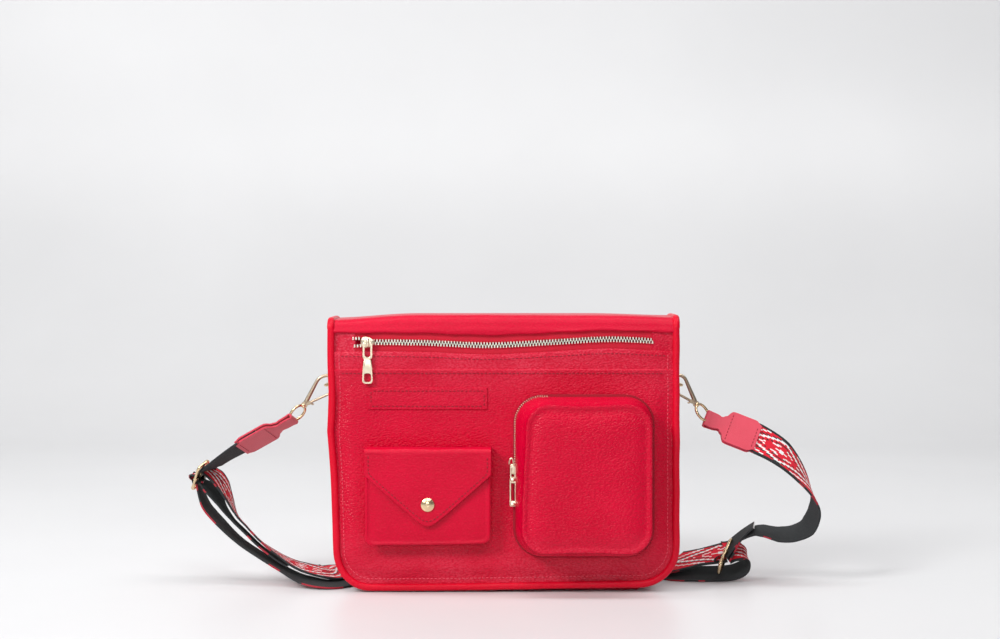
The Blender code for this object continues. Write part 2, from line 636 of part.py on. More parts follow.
LOWER_RUN = [
    ((0.2225, 0.026, 0.0290), (0.25, 0.86, 0.44)),
    ((0.2312, 0.026, 0.0255), (0.10, 0.90, 0.42)),
    ((0.2340, 0.026, 0.0170), (0.0, 0.92, 0.38)),
    ((0.2240, 0.026, 0.0085), (0.0, 0.93, 0.36)),
    ((0.2000, 0.024, 0.0075), (0.0, 0.93, 0.36)),
    ((0.1720, 0.028, 0.0068), (0.20, 0.91, 0.32)),
    ((0.1500, 0.044, 0.0040), (0.62, 0.76, 0.14)),
    ((0.1150, 0.058, 0.0014), (0.20, 0.98, 0.0)),
    ((0.0, 0.061, 0.0014), (0.0, 1.0, 0.0)),
    ((-0.1150, 0.058, 0.0014), (-0.20, 0.98, 0.0)),
    ((-0.1520, 0.040, 0.0040), (-0.62, 0.76, 0.14)),
    ((-0.1740, 0.016, 0.0068), (-0.45, 0.84, 0.32)),
    ((-0.2000, 0.008, 0.0105), (-0.15, 0.90, 0.40)),
    ((-0.2280, 0.008, 0.0225), (0.16, 0.86, 0.48)),
    ((-0.2540, 0.010, 0.0400), (0.32, 0.78, 0.54)),
    ((-0.2720, 0.013, 0.0580), (0.42, 0.70, 0.58)),
    ((-0.2838, 0.0185, 0.0760), (0.40, 0.60, 0.70)),
    ((-0.2892, 0.0270, 0.0949), (0.36, 0.55, 0.75)),
]
UPPER_RUN = [
    ((-0.2761, 0.0198, 0.0935), (0.36, 0.55, 0.75)),
    ((-0.2690, 0.0190, 0.0830), (0.44, 0.64, 0.64)),
    ((-0.2580, 0.0170, 0.0660), (0.42, 0.70, 0.58)),
    ((-0.2430, 0.014, 0.0500), (0.32, 0.78, 0.54)),
    ((-0.2210, 0.013, 0.0340), (0.16, 0.86, 0.48)),
    ((-0.1970, 0.014, 0.0205), (-0.15, 0.90, 0.40)),
    ((-0.1730, 0.022, 0.0150), (-0.45, 0.84, 0.32)),
    ((-0.1500, 0.047, 0.0085), (-0.62, 0.76, 0.14)),
    ((-0.1130, 0.060, 0.0046), (-0.20, 0.98, 0.0)),
    ((0.0, 0.062, 0.0046), (0.0, 1.0, 0.0)),
    ((0.1130, 0.060, 0.0046), (0.20, 0.98, 0.0)),
    ((0.1480, 0.050, 0.0085), (0.62, 0.76, 0.14)),
    ((0.1680, 0.036, 0.0150), (0.25, 0.90, 0.32)),
    ((0.1840, 0.029, 0.0215), (0.10, 0.92, 0.38)),
    ((0.1990, 0.026, 0.0275), (0.20, 0.88, 0.44)),
]
LEFT_SLIDE = ((-0.2835, 0.0200, 0.0990), (0.36, 0.55, 0.75), (-0.62, 0.70, -0.30))
RIGHT_SLIDE = ((0.2105, 0.026, 0.0315), (0.36, 0.78, 0.51), (-0.80, 0.0, 0.40))


def make_strap():
    for name, route in (("strap_end_left", LEFT_END), ("strap_end_right", RIGHT_END)):
        steps = smooth_route(route, 6)
        narrow = STRAP_NECK_WIDTH
        widths = [narrow, narrow, STRAP_END_WIDTH] + [STRAP_END_WIDTH] * 4
        ribbon(name, steps, widths, STRAP_END_THICKNESS, "red_strap_leather")
    looks = (("webbing_short", SHORT_END, "black_webbing"), ("webbing_arch", ARCH, "webbing"),
             ("webbing_lower", LOWER_RUN, "black_webbing"), ("webbing_upper", UPPER_RUN, "webbing"))
    for name, route, look in looks:
        steps = smooth_route(route)
        ribbon(name, steps, [WEBBING_WIDTH] * len(steps), WEBBING_THICKNESS, look)
    for name, (place, along, across) in (("strap_slide_left", LEFT_SLIDE), ("strap_slide_right", RIGHT_SLIDE)):
        make_slide(name, Vector(place), Vector(along).normalized(), Vector(across))


def make_slide(name, place, along, across):
    """Flat frame with two windows and a bar between them; the webbing runs round the bar."""
    across = (across - along * across.dot(along)).normalized()
    frame = Matrix((along, across, along.cross(across))).transposed().to_4x4()
    frame.translation = place
    length, width, bar = SLIDE_LENGTH / 2, SLIDE_WIDTH / 2, SLIDE_BAR
    body = rounded(-length, -width, length, width, bar)
    windows = [rectangle(bar - length, low, length - bar, low + width - 1.5 * bar)
               for low in (bar - width, bar / 2)]
    extrusion(name, [body] + windows, "XY", -SLIDE_THICKNESS / 2, SLIDE_THICKNESS / 2, "gold", frame)


def main():
    clear_scene()
    bpy.context.scene.collection.children.link(bpy.data.collections.new("satchel"))
    make_pouch()
    make_flap_top()
    make_flap_front()
    make_main_zip()
    make_zip_slider()
    make_envelope_pocket()
    make_box_pocket()
    for side, sign in (("left", -1), ("right", 1)):
        make_side(side, sign)
    make_strap()


main()
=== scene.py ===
"""Looks of a red leather flap satchel: pebbled leather, metal zips and hooks, and a woven strap."""
from math import copysign, cos, exp, hypot, pi, radians, sin, sqrt

import bmesh
import bpy
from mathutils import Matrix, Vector, noise


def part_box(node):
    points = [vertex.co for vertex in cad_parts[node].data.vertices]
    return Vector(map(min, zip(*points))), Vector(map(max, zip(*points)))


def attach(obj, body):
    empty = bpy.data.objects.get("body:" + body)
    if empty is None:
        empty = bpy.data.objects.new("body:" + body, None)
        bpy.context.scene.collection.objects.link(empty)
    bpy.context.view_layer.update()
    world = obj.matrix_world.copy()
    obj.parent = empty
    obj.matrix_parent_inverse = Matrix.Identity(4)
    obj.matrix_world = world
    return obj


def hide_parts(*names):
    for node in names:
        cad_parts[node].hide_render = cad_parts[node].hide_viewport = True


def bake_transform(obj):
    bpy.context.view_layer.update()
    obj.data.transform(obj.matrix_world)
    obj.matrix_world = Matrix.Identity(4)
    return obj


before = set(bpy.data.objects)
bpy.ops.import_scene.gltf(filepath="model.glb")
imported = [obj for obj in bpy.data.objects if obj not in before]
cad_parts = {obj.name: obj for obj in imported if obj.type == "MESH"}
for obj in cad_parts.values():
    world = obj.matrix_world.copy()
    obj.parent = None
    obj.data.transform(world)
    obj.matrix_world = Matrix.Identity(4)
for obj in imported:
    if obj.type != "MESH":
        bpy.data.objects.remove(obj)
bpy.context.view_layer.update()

# Sizes read from the frame, in metres
FLAP_LOW, FLAP_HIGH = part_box("flap_binding")
PANEL_LOW, PANEL_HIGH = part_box("flap_panel")
FACING_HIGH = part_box("zip_facing")[1]
LIP_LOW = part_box("zip_lip")[0]
ROLL_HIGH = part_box("flap_roll")[1]
POUCH_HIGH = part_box("gusset")[1]
BACK_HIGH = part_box("back_panel")[1]
FRONT_LOW, FRONT_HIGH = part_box("front_panel")
HALF_FLAP = FLAP_HIGH[0]
HALF_PANEL = PANEL_HIGH[0]
HALF_POUCH = POUCH_HIGH[0]
FLAP_FACE = PANEL_LOW[1]
BACK_FACE = BACK_HIGH[1]
CORNER = 0.037
LEATHER = 0.0024
SIDES = (("left", -1), ("right", 1))

# Camera: the photograph's frame, focal length in pixels, and where the bag stands in it
PHOTO_WIDTH, PHOTO_HEIGHT = 1000, 639
FOCAL_PIXELS = 1800
HORIZON_ROW = 255
BAG_COLUMN = 503.5
EYE_DISTANCE = 1.668
EYE_HEIGHT = 0.3055


def make_camera():
    """Level camera; the picture's shift keeps the upright lines upright."""
    data = bpy.data.cameras.new("camera")
    data.sensor_width = 36.0
    data.lens = FOCAL_PIXELS / PHOTO_WIDTH * data.sensor_width
    data.shift_x = (PHOTO_WIDTH / 2 - BAG_COLUMN) / PHOTO_WIDTH
    data.shift_y = (HORIZON_ROW - PHOTO_HEIGHT / 2) / PHOTO_WIDTH
    camera = bpy.data.objects.new("camera", data)
    camera.location = (0.0, -EYE_DISTANCE, EYE_HEIGHT)
    camera.rotation_euler = (pi / 2, 0, 0)
    bpy.context.scene.collection.objects.link(camera)
    bpy.context.scene.camera = camera


class Value:
    """A node's output that takes part in Python sums; each sum adds a Math node."""

    def __init__(self, recipe, socket):
        self.recipe = recipe
        self.socket = socket

    def sum(self, operation, *terms):
        return self.recipe.node("ShaderNodeMath", {"operation": operation}, dict(enumerate(terms)))

    def __add__(self, other):
        return self.sum("ADD", self, other)

    def __sub__(self, other):
        return self.sum("SUBTRACT", self, other)

    def __rsub__(self, other):
        return self.sum("SUBTRACT", other, self)

    def __mul__(self, other):
        return self.sum("MULTIPLY", self, other)

    def __truediv__(self, other):
        return self.sum("DIVIDE", self, other)

    def __lt__(self, other):
        return self.sum("LESS_THAN", self, other)

    def __gt__(self, other):
        return self.sum("GREATER_THAN", self, other)

    def __abs__(self):
        return self.sum("ABSOLUTE", self)

    __radd__ = __add__
    __rmul__ = __mul__

    def wave(self):
        return self.sum("SINE", self)

    def part(self):
        return self.sum("FRACT", self)

    def least(self, other):
        return self.sum("MINIMUM", self, other)

    def most(self, other):
        return self.sum("MAXIMUM", self, other)


class Recipe:
    """One material's node tree."""

    def __init__(self, name):
        self.material = bpy.data.materials.new(name)
        self.material.use_nodes = True
        self.tree = self.material.node_tree
        self.shader = self.tree.nodes["Principled BSDF"]

    def feed(self, socket, value):
        if isinstance(value, Value):
            self.tree.links.new(value.socket, socket)
        elif isinstance(value, tuple) and socket.type == "RGBA":
            socket.default_value = (*value, 1.0)
        else:
            socket.default_value = value

    def node(self, kind, settings, inputs, output=0):
        """A node of that kind: its settings first, then values or links for its inputs."""
        made = self.tree.nodes.new(kind)
        for key, value in settings.items():
            setattr(made, key, value)
        for key, value in inputs.items():
            self.feed(made.inputs[key], value)
        return Value(self, made.outputs[output])

    def mix(self, factor, first, second):
        settings = {"data_type": "RGBA"}
        return self.node("ShaderNodeMix", settings, {0: factor, 6: first, 7: second}, 2)

    def place(self, scale=(1, 1, 1)):
        where = self.node("ShaderNodeTexCoord", {}, {}, "Object")
        return self.node("ShaderNodeVectorMath", {"operation": "MULTIPLY"}, {0: where, 1: scale})

    def uv(self):
        where = self.node("ShaderNodeUVMap", {"uv_map": "weave"}, {})
        split = self.node("ShaderNodeSeparateXYZ", {}, {0: where})
        return split, Value(self, split.socket.node.outputs[1])

    def speckle(self, place, scale, detail=2.0):
        inputs = {"Vector": place, "Scale": scale, "Detail": detail}
        return self.node("ShaderNodeTexNoise", {}, inputs)

    def bump(self, height, strength, distance, under=None):
        inputs = {"Height": height, "Strength": strength, "Distance": distance}
        if under is not None:
            inputs["Normal"] = under
        return self.node("ShaderNodeBump", {}, inputs)

    def done(self, **sockets):
        for key, value in sockets.items():
            self.feed(self.shader.inputs[key.replace("_", " ")], value)
        return self.material


PEBBLE = 620.0
GRAIN_STRETCH = (0.72, 1.0, 1.12)


def pebbled_leather(name, deep, bright, rough, relief, painted_sheen=0.0):
    """Dyed leather with a pebble grain and duller valleys, and a pale painted sheen on the pebble
    tops near the fold and hem.
    """
    recipe = Recipe(name)
    place = recipe.place(GRAIN_STRETCH)
    warp = recipe.node(
        "ShaderNodeTexNoise", {}, {"Vector": place, "Scale": PEBBLE / 3, "Detail": 1.0}, 1
    )
    pull = recipe.node(
        "ShaderNodeVectorMath", {"operation": "SCALE"}, {0: warp, "Scale": 0.9 / PEBBLE}
    )
    bent = recipe.node("ShaderNodeVectorMath", {"operation": "ADD"}, {0: place, 1: pull})
    cells = {"Vector": bent, "Scale": PEBBLE, "Smoothness": 0.35}
    hills = recipe.node("ShaderNodeTexVoronoi", {"feature": "SMOOTH_F1"}, cells)
    cloud = recipe.speckle(place, 22.0)
    pores = recipe.speckle(place, PEBBLE * 5)
    valley = (hills * 1.5).least(1.0)
    shade = (cloud * 0.75 + valley * -0.35 + 0.18).most(0.0).least(1.0)
    grain = recipe.bump(pores, 0.10, 0.0002)
    relief_normal = recipe.bump(1.0 - hills, relief, 0.0010, grain)
    recipe.shader.inputs["Specular IOR Level"].default_value = 0.17
    height = recipe.node("ShaderNodeSeparateXYZ", {}, {0: place}, 2)
    # Painted sheen: pale pink on the pebble tops, in patches, in bands near the top and the foot;
    # it stands in for reflections of a window light.
    sheen_band = ((height * 14.0 - 2.6).most(0.0) + (height * -14.0 + 0.95).most(0.0)).least(1.0)
    sheen_patches = (cloud * 1.6 - 0.35).most(0.0).least(1.0)
    sheen_on_tops = (1.0 - valley * 0.85).most(0.0)
    painted_sheen_mask = sheen_band * sheen_patches * sheen_on_tops * painted_sheen
    return recipe.done(
        Base_Color=recipe.mix(painted_sheen_mask, recipe.mix(shade, deep, bright), (0.85, 0.26, 0.33)),
        Roughness=rough + valley * 0.10 + cloud * 0.06,
        Normal=relief_normal,
    )


def smooth_leather(name, deep, bright):
    """Finer strap leather with a soft sheen."""
    recipe = Recipe(name)
    place = recipe.place()
    cells = {"Vector": place, "Scale": 1300.0}
    hills = recipe.node("ShaderNodeTexVoronoi", {"feature": "F1"}, cells)
    cloud = recipe.speckle(place, 60.0)
    recipe.shader.inputs["Sheen Weight"].default_value = 0.25
    return recipe.done(
        Base_Color=recipe.mix(cloud, deep, bright),
        Roughness=0.42 + hills * 0.10,
        Normal=recipe.bump(1.0 - hills, 0.22, 0.0004),
    )


def plain_board(name, colour):
    """Mottled board that stiffens the base."""
    recipe = Recipe(name)
    cloud = recipe.speckle(recipe.place(), 900.0)
    dark = tuple(c * 0.7 for c in colour)
    return recipe.done(Base_Color=recipe.mix(cloud, dark, colour), Roughness=0.5 + cloud * 0.2)


def plated_metal(name, colour, rough):
    """Plated casting with faint polishing marks and tarnish."""
    recipe = Recipe(name)
    cloud = recipe.speckle(recipe.place(), 260.0, 4.0)
    marks = recipe.speckle(recipe.place((1, 1, 9)), 1400.0)
    dull = tuple(c * 0.80 for c in colour)
    return recipe.done(
        Base_Color=recipe.mix(cloud, dull, colour),
        Roughness=rough + cloud * 0.10 + marks * 0.05,
        Metallic=1.0,
        Normal=recipe.bump(marks, 0.05, 0.0001),
    )


def woven_cloth(name, dark, light, pitch):
    """Plain weave from two crossed ribs."""
    recipe = Recipe(name)
    where = recipe.place()
    split = recipe.node("ShaderNodeSeparateXYZ", {}, {0: where})
    x, z = split, Value(recipe, split.socket.node.outputs[2])
    turn = 2 * pi / pitch
    weave = (x * turn).wave() * (z * turn).wave()
    cloud = recipe.speckle(where, 180.0)
    return recipe.done(
        Base_Color=recipe.mix((weave * 0.3 + cloud).least(1.0), dark, light),
        Roughness=0.85 + cloud * 0.1,
        Normal=recipe.bump(weave, 0.4, 0.0003),
    )


def thread(name, dark, light):
    """Twisted sewing thread."""
    recipe = Recipe(name)
    twist = recipe.speckle(recipe.place(), 2400.0)
    return recipe.done(Base_Color=recipe.mix(twist, dark, light), Roughness=0.55 + twist * 0.2)


def put(name, made, looks, body, *nodes):
    """A named piece that rides on a body and stands for those nodes; a piece given a bend between
    two bodies is left unparented where it is.
    """
    bmesh.ops.recalc_face_normals(made, faces=made.faces)
    mesh = bpy.data.meshes.new(name)
    made.to_mesh(mesh)
    made.free()
    mesh.shade_smooth()
    mesh.set_sharp_from_angle(angle=radians(50))
    for look in looks if isinstance(looks, (list, tuple)) else [looks]:
        mesh.materials.append(look)
    piece = bpy.data.objects.new(name, mesh)
    bpy.context.scene.collection.objects.link(piece)
    if isinstance(body, str):
        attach(piece, body)
    else:
        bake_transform(piece)
    if nodes:
        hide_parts(*nodes)
    return piece


def ease(low, high, value):
    """0 below low, 1 above high, smooth between."""
    t = min(max((value - low) / (high - low), 0.0), 1.0)
    return t * t * (3 - 2 * t)


def bell(offset, width):
    """1 at no offset, falling smoothly to 0 well beyond the width."""
    return exp(-((offset / width) ** 2))


def closing(top, foot, share, power=1.3):
    """Height between top and foot, with rows closer together towards the foot."""
    return top - (top - foot) * (1 - (1 - share) ** power)


def compass(degrees):
    return cos(radians(degrees)), sin(radians(degrees))


def full_turn(count):
    return [2 * pi * k / count for k in range(count)]


def spread(low, high, count):
    return [low + (high - low) * i / (count - 1) for i in range(count)]


def lump(x, z, scale, seed):
    """Slow, irregular unevenness of soft leather, from -1 to 1."""
    return noise.noise(Vector((x * scale, seed, z * scale)))


def add_loft(made, rings, closed=False):
    """Skin over equal rings of points; the ends are capped unless it closes on itself."""
    rows = [[made.verts.new(point) for point in ring] for ring in rings]
    pairs = list(zip(rows, rows[1:])) + ([(rows[-1], rows[0])] if closed else [])
    count = len(rows[0])
    for near, far in pairs:
        for j in range(count):
            k = (j + 1) % count
            made.faces.new((near[j], near[k], far[k], far[j]))
    if not closed:
        made.faces.new(rows[0][::-1])
        made.faces.new(rows[-1])


def loft(name, rings, looks, body, *nodes, closed=False):
    made = bmesh.new()
    add_loft(made, rings, closed)
    return put(name, made, looks, body, *nodes)


def add_sheet(made, grid, thick):
    """Sheet with a rounded edge: grid is its outer face, rows going down, columns right."""
    rows, columns = len(grid), len(grid[0])
    outer, inner = [], []
    for i in range(rows):
        outer_row, inner_row = [], []
        for j in range(columns):
            down = grid[min(i + 1, rows - 1)][j] - grid[max(i - 1, 0)][j]
            across = grid[i][min(j + 1, columns - 1)] - grid[i][max(j - 1, 0)]
            normal = down.cross(across).normalized()
            outer_row.append(made.verts.new(grid[i][j]))
            inner_row.append(made.verts.new(grid[i][j] - normal * thick))
        outer.append(outer_row)
        inner.append(inner_row)
    for i in range(rows - 1):
        for j in range(columns - 1):
            made.faces.new((outer[i][j], outer[i + 1][j], outer[i + 1][j + 1], outer[i][j + 1]))
            made.faces.new((inner[i][j], inner[i][j + 1], inner[i + 1][j + 1], inner[i + 1][j]))
    border = [(0, j) for j in range(columns)] + [(i, columns - 1) for i in range(1, rows)]
    border += [(rows - 1, j) for j in range(columns - 2, -1, -1)]
    border += [(i, 0) for i in range(rows - 2, 0, -1)]
    middle = []
    for i, j in border:
        inside = grid[min(max(i, 1), rows - 2)][min(max(j, 1), columns - 2)]
        out = (grid[i][j] - inside).normalized()
        middle.append(made.verts.new((outer[i][j].co + inner[i][j].co) / 2 + out * thick * 0.4))
    for k, (i, j) in enumerate(border):
        m = (k + 1) % len(border)
        a, b = border[m]
        made.faces.new((outer[i][j], outer[a][b], middle[m], middle[k]))
        made.faces.new((middle[k], middle[m], inner[a][b], inner[i][j]))


def sheet(name, grid, thick, looks, body, *nodes):
    made = bmesh.new()
    add_sheet(made, grid, thick)
    return put(name, made, looks, body, *nodes)


def tube_rings(points, radii, sides=12, closed=False):
    """Round sections along a line, turned as little as possible from one to the next."""
    count = len(points)
    rings, side = [], None
    for i, point in enumerate(points):
        after = points[(i + 1) % count] if closed or i < count - 1 else point
        before = points[i - 1] if closed or i > 0 else point
        along = (after - before).normalized()
        if side is None:
            side = along.orthogonal()
        side = (side - along * side.dot(along)).normalized()
        up = along.cross(side)
        radius = radii[i] if isinstance(radii, (list, tuple)) else radii
        rings.append([point + (side * cos(t) + up * sin(t)) * radius for t in full_turn(sides)])
    return rings


def rounded_line(corners, radius, steps=6, closed=False):
    """The line through the corners with each one rounded off."""
    count = len(corners)
    found = []
    for i, corner in enumerate(corners):
        if not closed and i in (0, count - 1):
            found.append(corner)
            continue
        before, after = corners[i - 1], corners[(i + 1) % count]
        reach = min(radius, (before - corner).length * 0.48, (after - corner).length * 0.48)
        start = corner + (before - corner).normalized() * reach
        end = corner + (after - corner).normalized() * reach
        for k in range(steps + 1):
            t = k / steps
            found.append(start.lerp(corner, t).lerp(corner.lerp(end, t), t))
    return found


def evenly(points, step):
    """Points every step along a line."""
    found = [points[0]]
    left = step
    for a, b in zip(points, points[1:]):
        length = (b - a).length
        done = 0.0
        while length - done >= left:
            done += left
            found.append(a.lerp(b, done / length))
            left = step
        left -= length - done
    return found


STITCH_PITCH = 0.0036
STITCH_LENGTH = 0.0027
STITCH_THICK = 0.00065


def add_stitches(made, line, facing):
    """Stitches along a line: each one rises from a hole and dips into the next."""
    points = evenly(line, STITCH_PITCH)
    for a, b in zip(points, points[1:]):
        along = (b - a).normalized()
        normal = Vector(facing)
        normal = (normal - along * normal.dot(along)).normalized()
        across = along.cross(normal)
        rings = []
        for t, rise, wide in (
            (-0.5, -0.5, 0.5), (-0.3, 0.3, 0.95), (0.0, 0.5, 1.0), (0.3, 0.3, 0.95),
            (0.5, -0.5, 0.5),
        ):
            centre = (a + b) / 2 + along * STITCH_LENGTH * t + normal * STITCH_THICK * rise
            ways = [across * cos(s) + normal * sin(s) for s in full_turn(6)]
            rings.append([centre + way * STITCH_THICK / 2 * wide for way in ways])
        add_loft(made, rings)


def stitching(name, lines, facing, looks, body):
    made = bmesh.new()
    for line in lines:
        add_stitches(made, line, facing)
    return put(name, made, looks, body)


ROUTE_STEPS = 8


def smooth_route(stations):
    """Points and width directions on a smooth curve through the listed stations."""
    rows = [Vector(place) for place, _ in stations]
    sides = [Vector(side).normalized() for _, side in stations]
    found = []
    for i in range(len(rows) - 1):
        before, after = max(i - 1, 0), min(i + 2, len(rows) - 1)
        corners = (rows[before], rows[i], rows[i + 1], rows[after])
        for k in range(ROUTE_STEPS):
            t = k / ROUTE_STEPS
            shares = (
                -t + 2 * t**2 - t**3,
                2 - 5 * t**2 + 3 * t**3,
                t + 4 * t**2 - 3 * t**3,
                -(t**2) + t**3,
            )
            place = sum((corner * share / 2 for corner, share in zip(corners, shares)), Vector())
            found.append((place, sides[i].lerp(sides[i + 1], t).normalized()))
    found.append((rows[-1], sides[-1]))
    return found


def band_axes(route, i):
    """Across and outward directions of a band at one point of its route."""
    ahead = route[min(i + 1, len(route) - 1)][0] - route[max(i - 1, 0)][0]
    side = route[i][1]
    side = (side - ahead * side.dot(ahead) / ahead.length_squared).normalized()
    return side, ahead.cross(side).normalized()


def webbing(name, route, looks, *nodes):
    """Woven strap: patterned face outward, plain face inward, a coloured selvedge on both edges."""
    made = bmesh.new()
    layer = made.loops.layers.uv.new("weave")
    across = [-1, -0.985, -0.5, 0, 0.5, 0.985, 1]
    section = [(a, 0.5 if abs(a) < 0.99 else 0.22) for a in across]
    section += [(a, -h) for a, h in section[::-1]]
    rows, marks = [], []
    length = 0.0
    for i, (place, _) in enumerate(route):
        length += (place - route[i - 1][0]).length if i else 0.0
        side, normal = band_axes(route, i)
        ring = [
            place + side * a * WEBBING_WIDTH / 2 + normal * h * WEBBING_THICKNESS
            for a, h in section
        ]
        rows.append([made.verts.new(point) for point in ring])
        marks.append(length)
    count = len(section)
    for i in range(len(rows) - 1):
        for j in range(count):
            k = (j + 1) % count
            face = made.faces.new((rows[i][j], rows[i][k], rows[i + 1][k], rows[i + 1][j]))
            edge = abs(section[j][0]) > 0.95 and abs(section[k][0]) > 0.95
            face.material_index = 2 if edge else (0 if j < 6 else 1)
            places = ((i, j), (i, k), (i + 1, k), (i + 1, j))
            for loop, (row, column) in zip(face.loops, places):
                loop[layer].uv = (marks[row], section[column][0])
    made.faces.new(rows[0][::-1]).material_index = 1
    made.faces.new(rows[-1]).material_index = 1
    return put(name, made, looks, "root", *nodes), length


# Strap routes: places listed on the strap's middle line, each with the direction across it
WEBBING_WIDTH = 0.032
WEBBING_THICKNESS = 0.0016
LEFT_END = ((-0.1982, 0.0002, 0.1521), (-0.2440, 0.0040, 0.1262), (0.20, 0.88, -0.41))
RIGHT_END = ((0.1913, -0.0003, 0.1525), (0.2345, -0.0063, 0.1358), (0.35, 0.54, 0.765))
SHORT_END = [
    ((-0.2240, 0.0024, 0.1375), (0.20, 0.88, -0.41)),
    ((-0.2440, 0.0040, 0.1262), (0.16, 0.93, -0.32)),
    ((-0.2600, 0.0080, 0.1160), (0.08, 0.97, -0.26)),
    ((-0.2725, 0.0140, 0.1072), (0.02, 0.97, -0.22)),
    ((-0.2795, 0.0190, 0.1030), (0.00, 1.00, -0.06)),
    ((-0.2848, 0.0235, 0.1012), (0.00, 1.00, 0.00)),
    ((-0.2876, 0.0255, 0.0978), (0.00, 1.00, 0.00)),
    ((-0.2860, 0.0265, 0.0945), (0.00, 1.00, 0.00)),
    ((-0.2815, 0.0270, 0.0935), (0.00, 1.00, 0.00)),
]
ARCH = [
    ((0.2172, -0.0039, 0.1425), (0.35, 0.54, 0.765)),
    ((0.2345, -0.0063, 0.1358), (0.35, 0.54, 0.765)),
    ((0.2580, -0.0060, 0.1215), (0.30, 0.66, 0.68)),
    ((0.2780, -0.0040, 0.0985), (0.16, 0.90, 0.40)),
    ((0.2878, 0.0010, 0.0810), (0.02, 0.99, 0.10)),
    ((0.2893, 0.0040, 0.0680), (-0.16, 0.98, 0.10)),
    ((0.2835, 0.0070, 0.0535), (-0.24, 0.95, 0.18)),
    ((0.2720, 0.0105, 0.0464), (-0.10, 0.955, 0.26)),
    ((0.2584, 0.0140, 0.0446), (0.00, 0.96, 0.29)),
    ((0.2420, 0.0180, 0.0474), (0.00, 0.98, 0.19)),
    ((0.2335, 0.0200, 0.0462), (0.00, 1.00, 0.02)),
    ((0.2250, 0.0222, 0.0392), (0.10, 0.96, -0.20)),
    ((0.2160, 0.0236, 0.0292), (0.30, 0.86, 0.30)),
    ((0.2088, 0.0240, 0.0222), (0.39, 0.72, 0.57)),
]
RIGHT_TURN = [
    ((0.2064, 0.0240, 0.0218), (0.39, 0.72, 0.57)),
    ((0.2058, 0.0240, 0.0238), (0.39, 0.72, 0.57)),
    ((0.2076, 0.0240, 0.0260), (0.39, 0.72, 0.57)),
    ((0.2140, 0.0238, 0.0330), (0.26, 0.87, 0.36)),
    ((0.2215, 0.0232, 0.0405), (0.08, 0.98, 0.10)),
    ((0.2290, 0.0222, 0.0474), (0.03, 1.00, -0.04)),
    ((0.2352, 0.0210, 0.0520), (0.04, 0.99, -0.05)),
]
LOWER_RUN = [
    ((0.2090, 0.0246, 0.0258), (0.36, 0.76, 0.53)),
    ((0.2175, 0.0255, 0.0272), (0.25, 0.88, 0.40)),
    ((0.2254, 0.0260, 0.0258), (0.10, 0.96, 0.26)),
    ((0.2292, 0.0260, 0.0204), (0.00, 0.97, 0.24)),
    ((0.2268, 0.0260, 0.0128), (0.00, 0.966, 0.26)),
    ((0.2183, 0.0260, 0.0077), (0.00, 0.966, 0.26)),
    ((0.2037, 0.0260, 0.0057), (0.00, 0.966, 0.26)),
    ((0.1720, 0.0270, 0.0056), (0.05, 0.965, 0.26)),
    ((0.1500, 0.0440, 0.0040), (0.62, 0.76, 0.14)),
    ((0.1150, 0.0580, 0.0022), (0.20, 0.98, 0.00)),
    ((0.0000, 0.0610, 0.0022), (0.00, 1.00, 0.00)),
    ((-0.0900, 0.0600, 0.0022), (-0.15, 0.98, 0.00)),
    ((-0.1220, 0.0450, 0.0022), (-0.80, 0.60, 0.00)),
    ((-0.1400, 0.0150, 0.0022), (-0.70, 0.71, 0.00)),
    ((-0.1600, -0.0100, 0.0022), (-0.30, 0.95, 0.05)),
    ((-0.1835, -0.0040, 0.0055), (0.00, 0.99, 0.06)),
    ((-0.2027, 0.0020, 0.0132), (0.00, 1.00, -0.02)),
    ((-0.2246, 0.0060, 0.0256), (0.00, 1.00, -0.02)),
    ((-0.2456, 0.0100, 0.0389), (0.00, 1.00, -0.02)),
    ((-0.2629, 0.0130, 0.0543), (0.03, 1.00, 0.02)),
    ((-0.2777, 0.0215, 0.0695), (0.04, 1.00, 0.02)),
    ((-0.2859, 0.0290, 0.0867), (0.05, 0.95, -0.25)),
    ((-0.2852, 0.0295, 0.0940), (0.02, 0.98, -0.15)),
]
LEFT_TURN = [
    ((-0.2840, 0.0300, 0.0945), (-0.10, 0.95, -0.20)),
    ((-0.2796, 0.0265, 0.0920), (0.10, 0.98, 0.08)),
    ((-0.2725, 0.0215, 0.0835), (0.16, 0.97, 0.12)),
    ((-0.2635, 0.0175, 0.0708), (0.00, 1.00, -0.04)),
    ((-0.2535, 0.0160, 0.0582), (-0.08, 0.99, -0.10)),
    ((-0.2420, 0.0140, 0.0474), (-0.08, 0.99, -0.10)),
    ((-0.2276, 0.0120, 0.0341), (-0.08, 0.99, -0.10)),
    ((-0.2105, 0.0100, 0.0218), (-0.06, 0.99, -0.10)),
    ((-0.2000, 0.0090, 0.0165), (-0.04, 1.00, -0.06)),
]
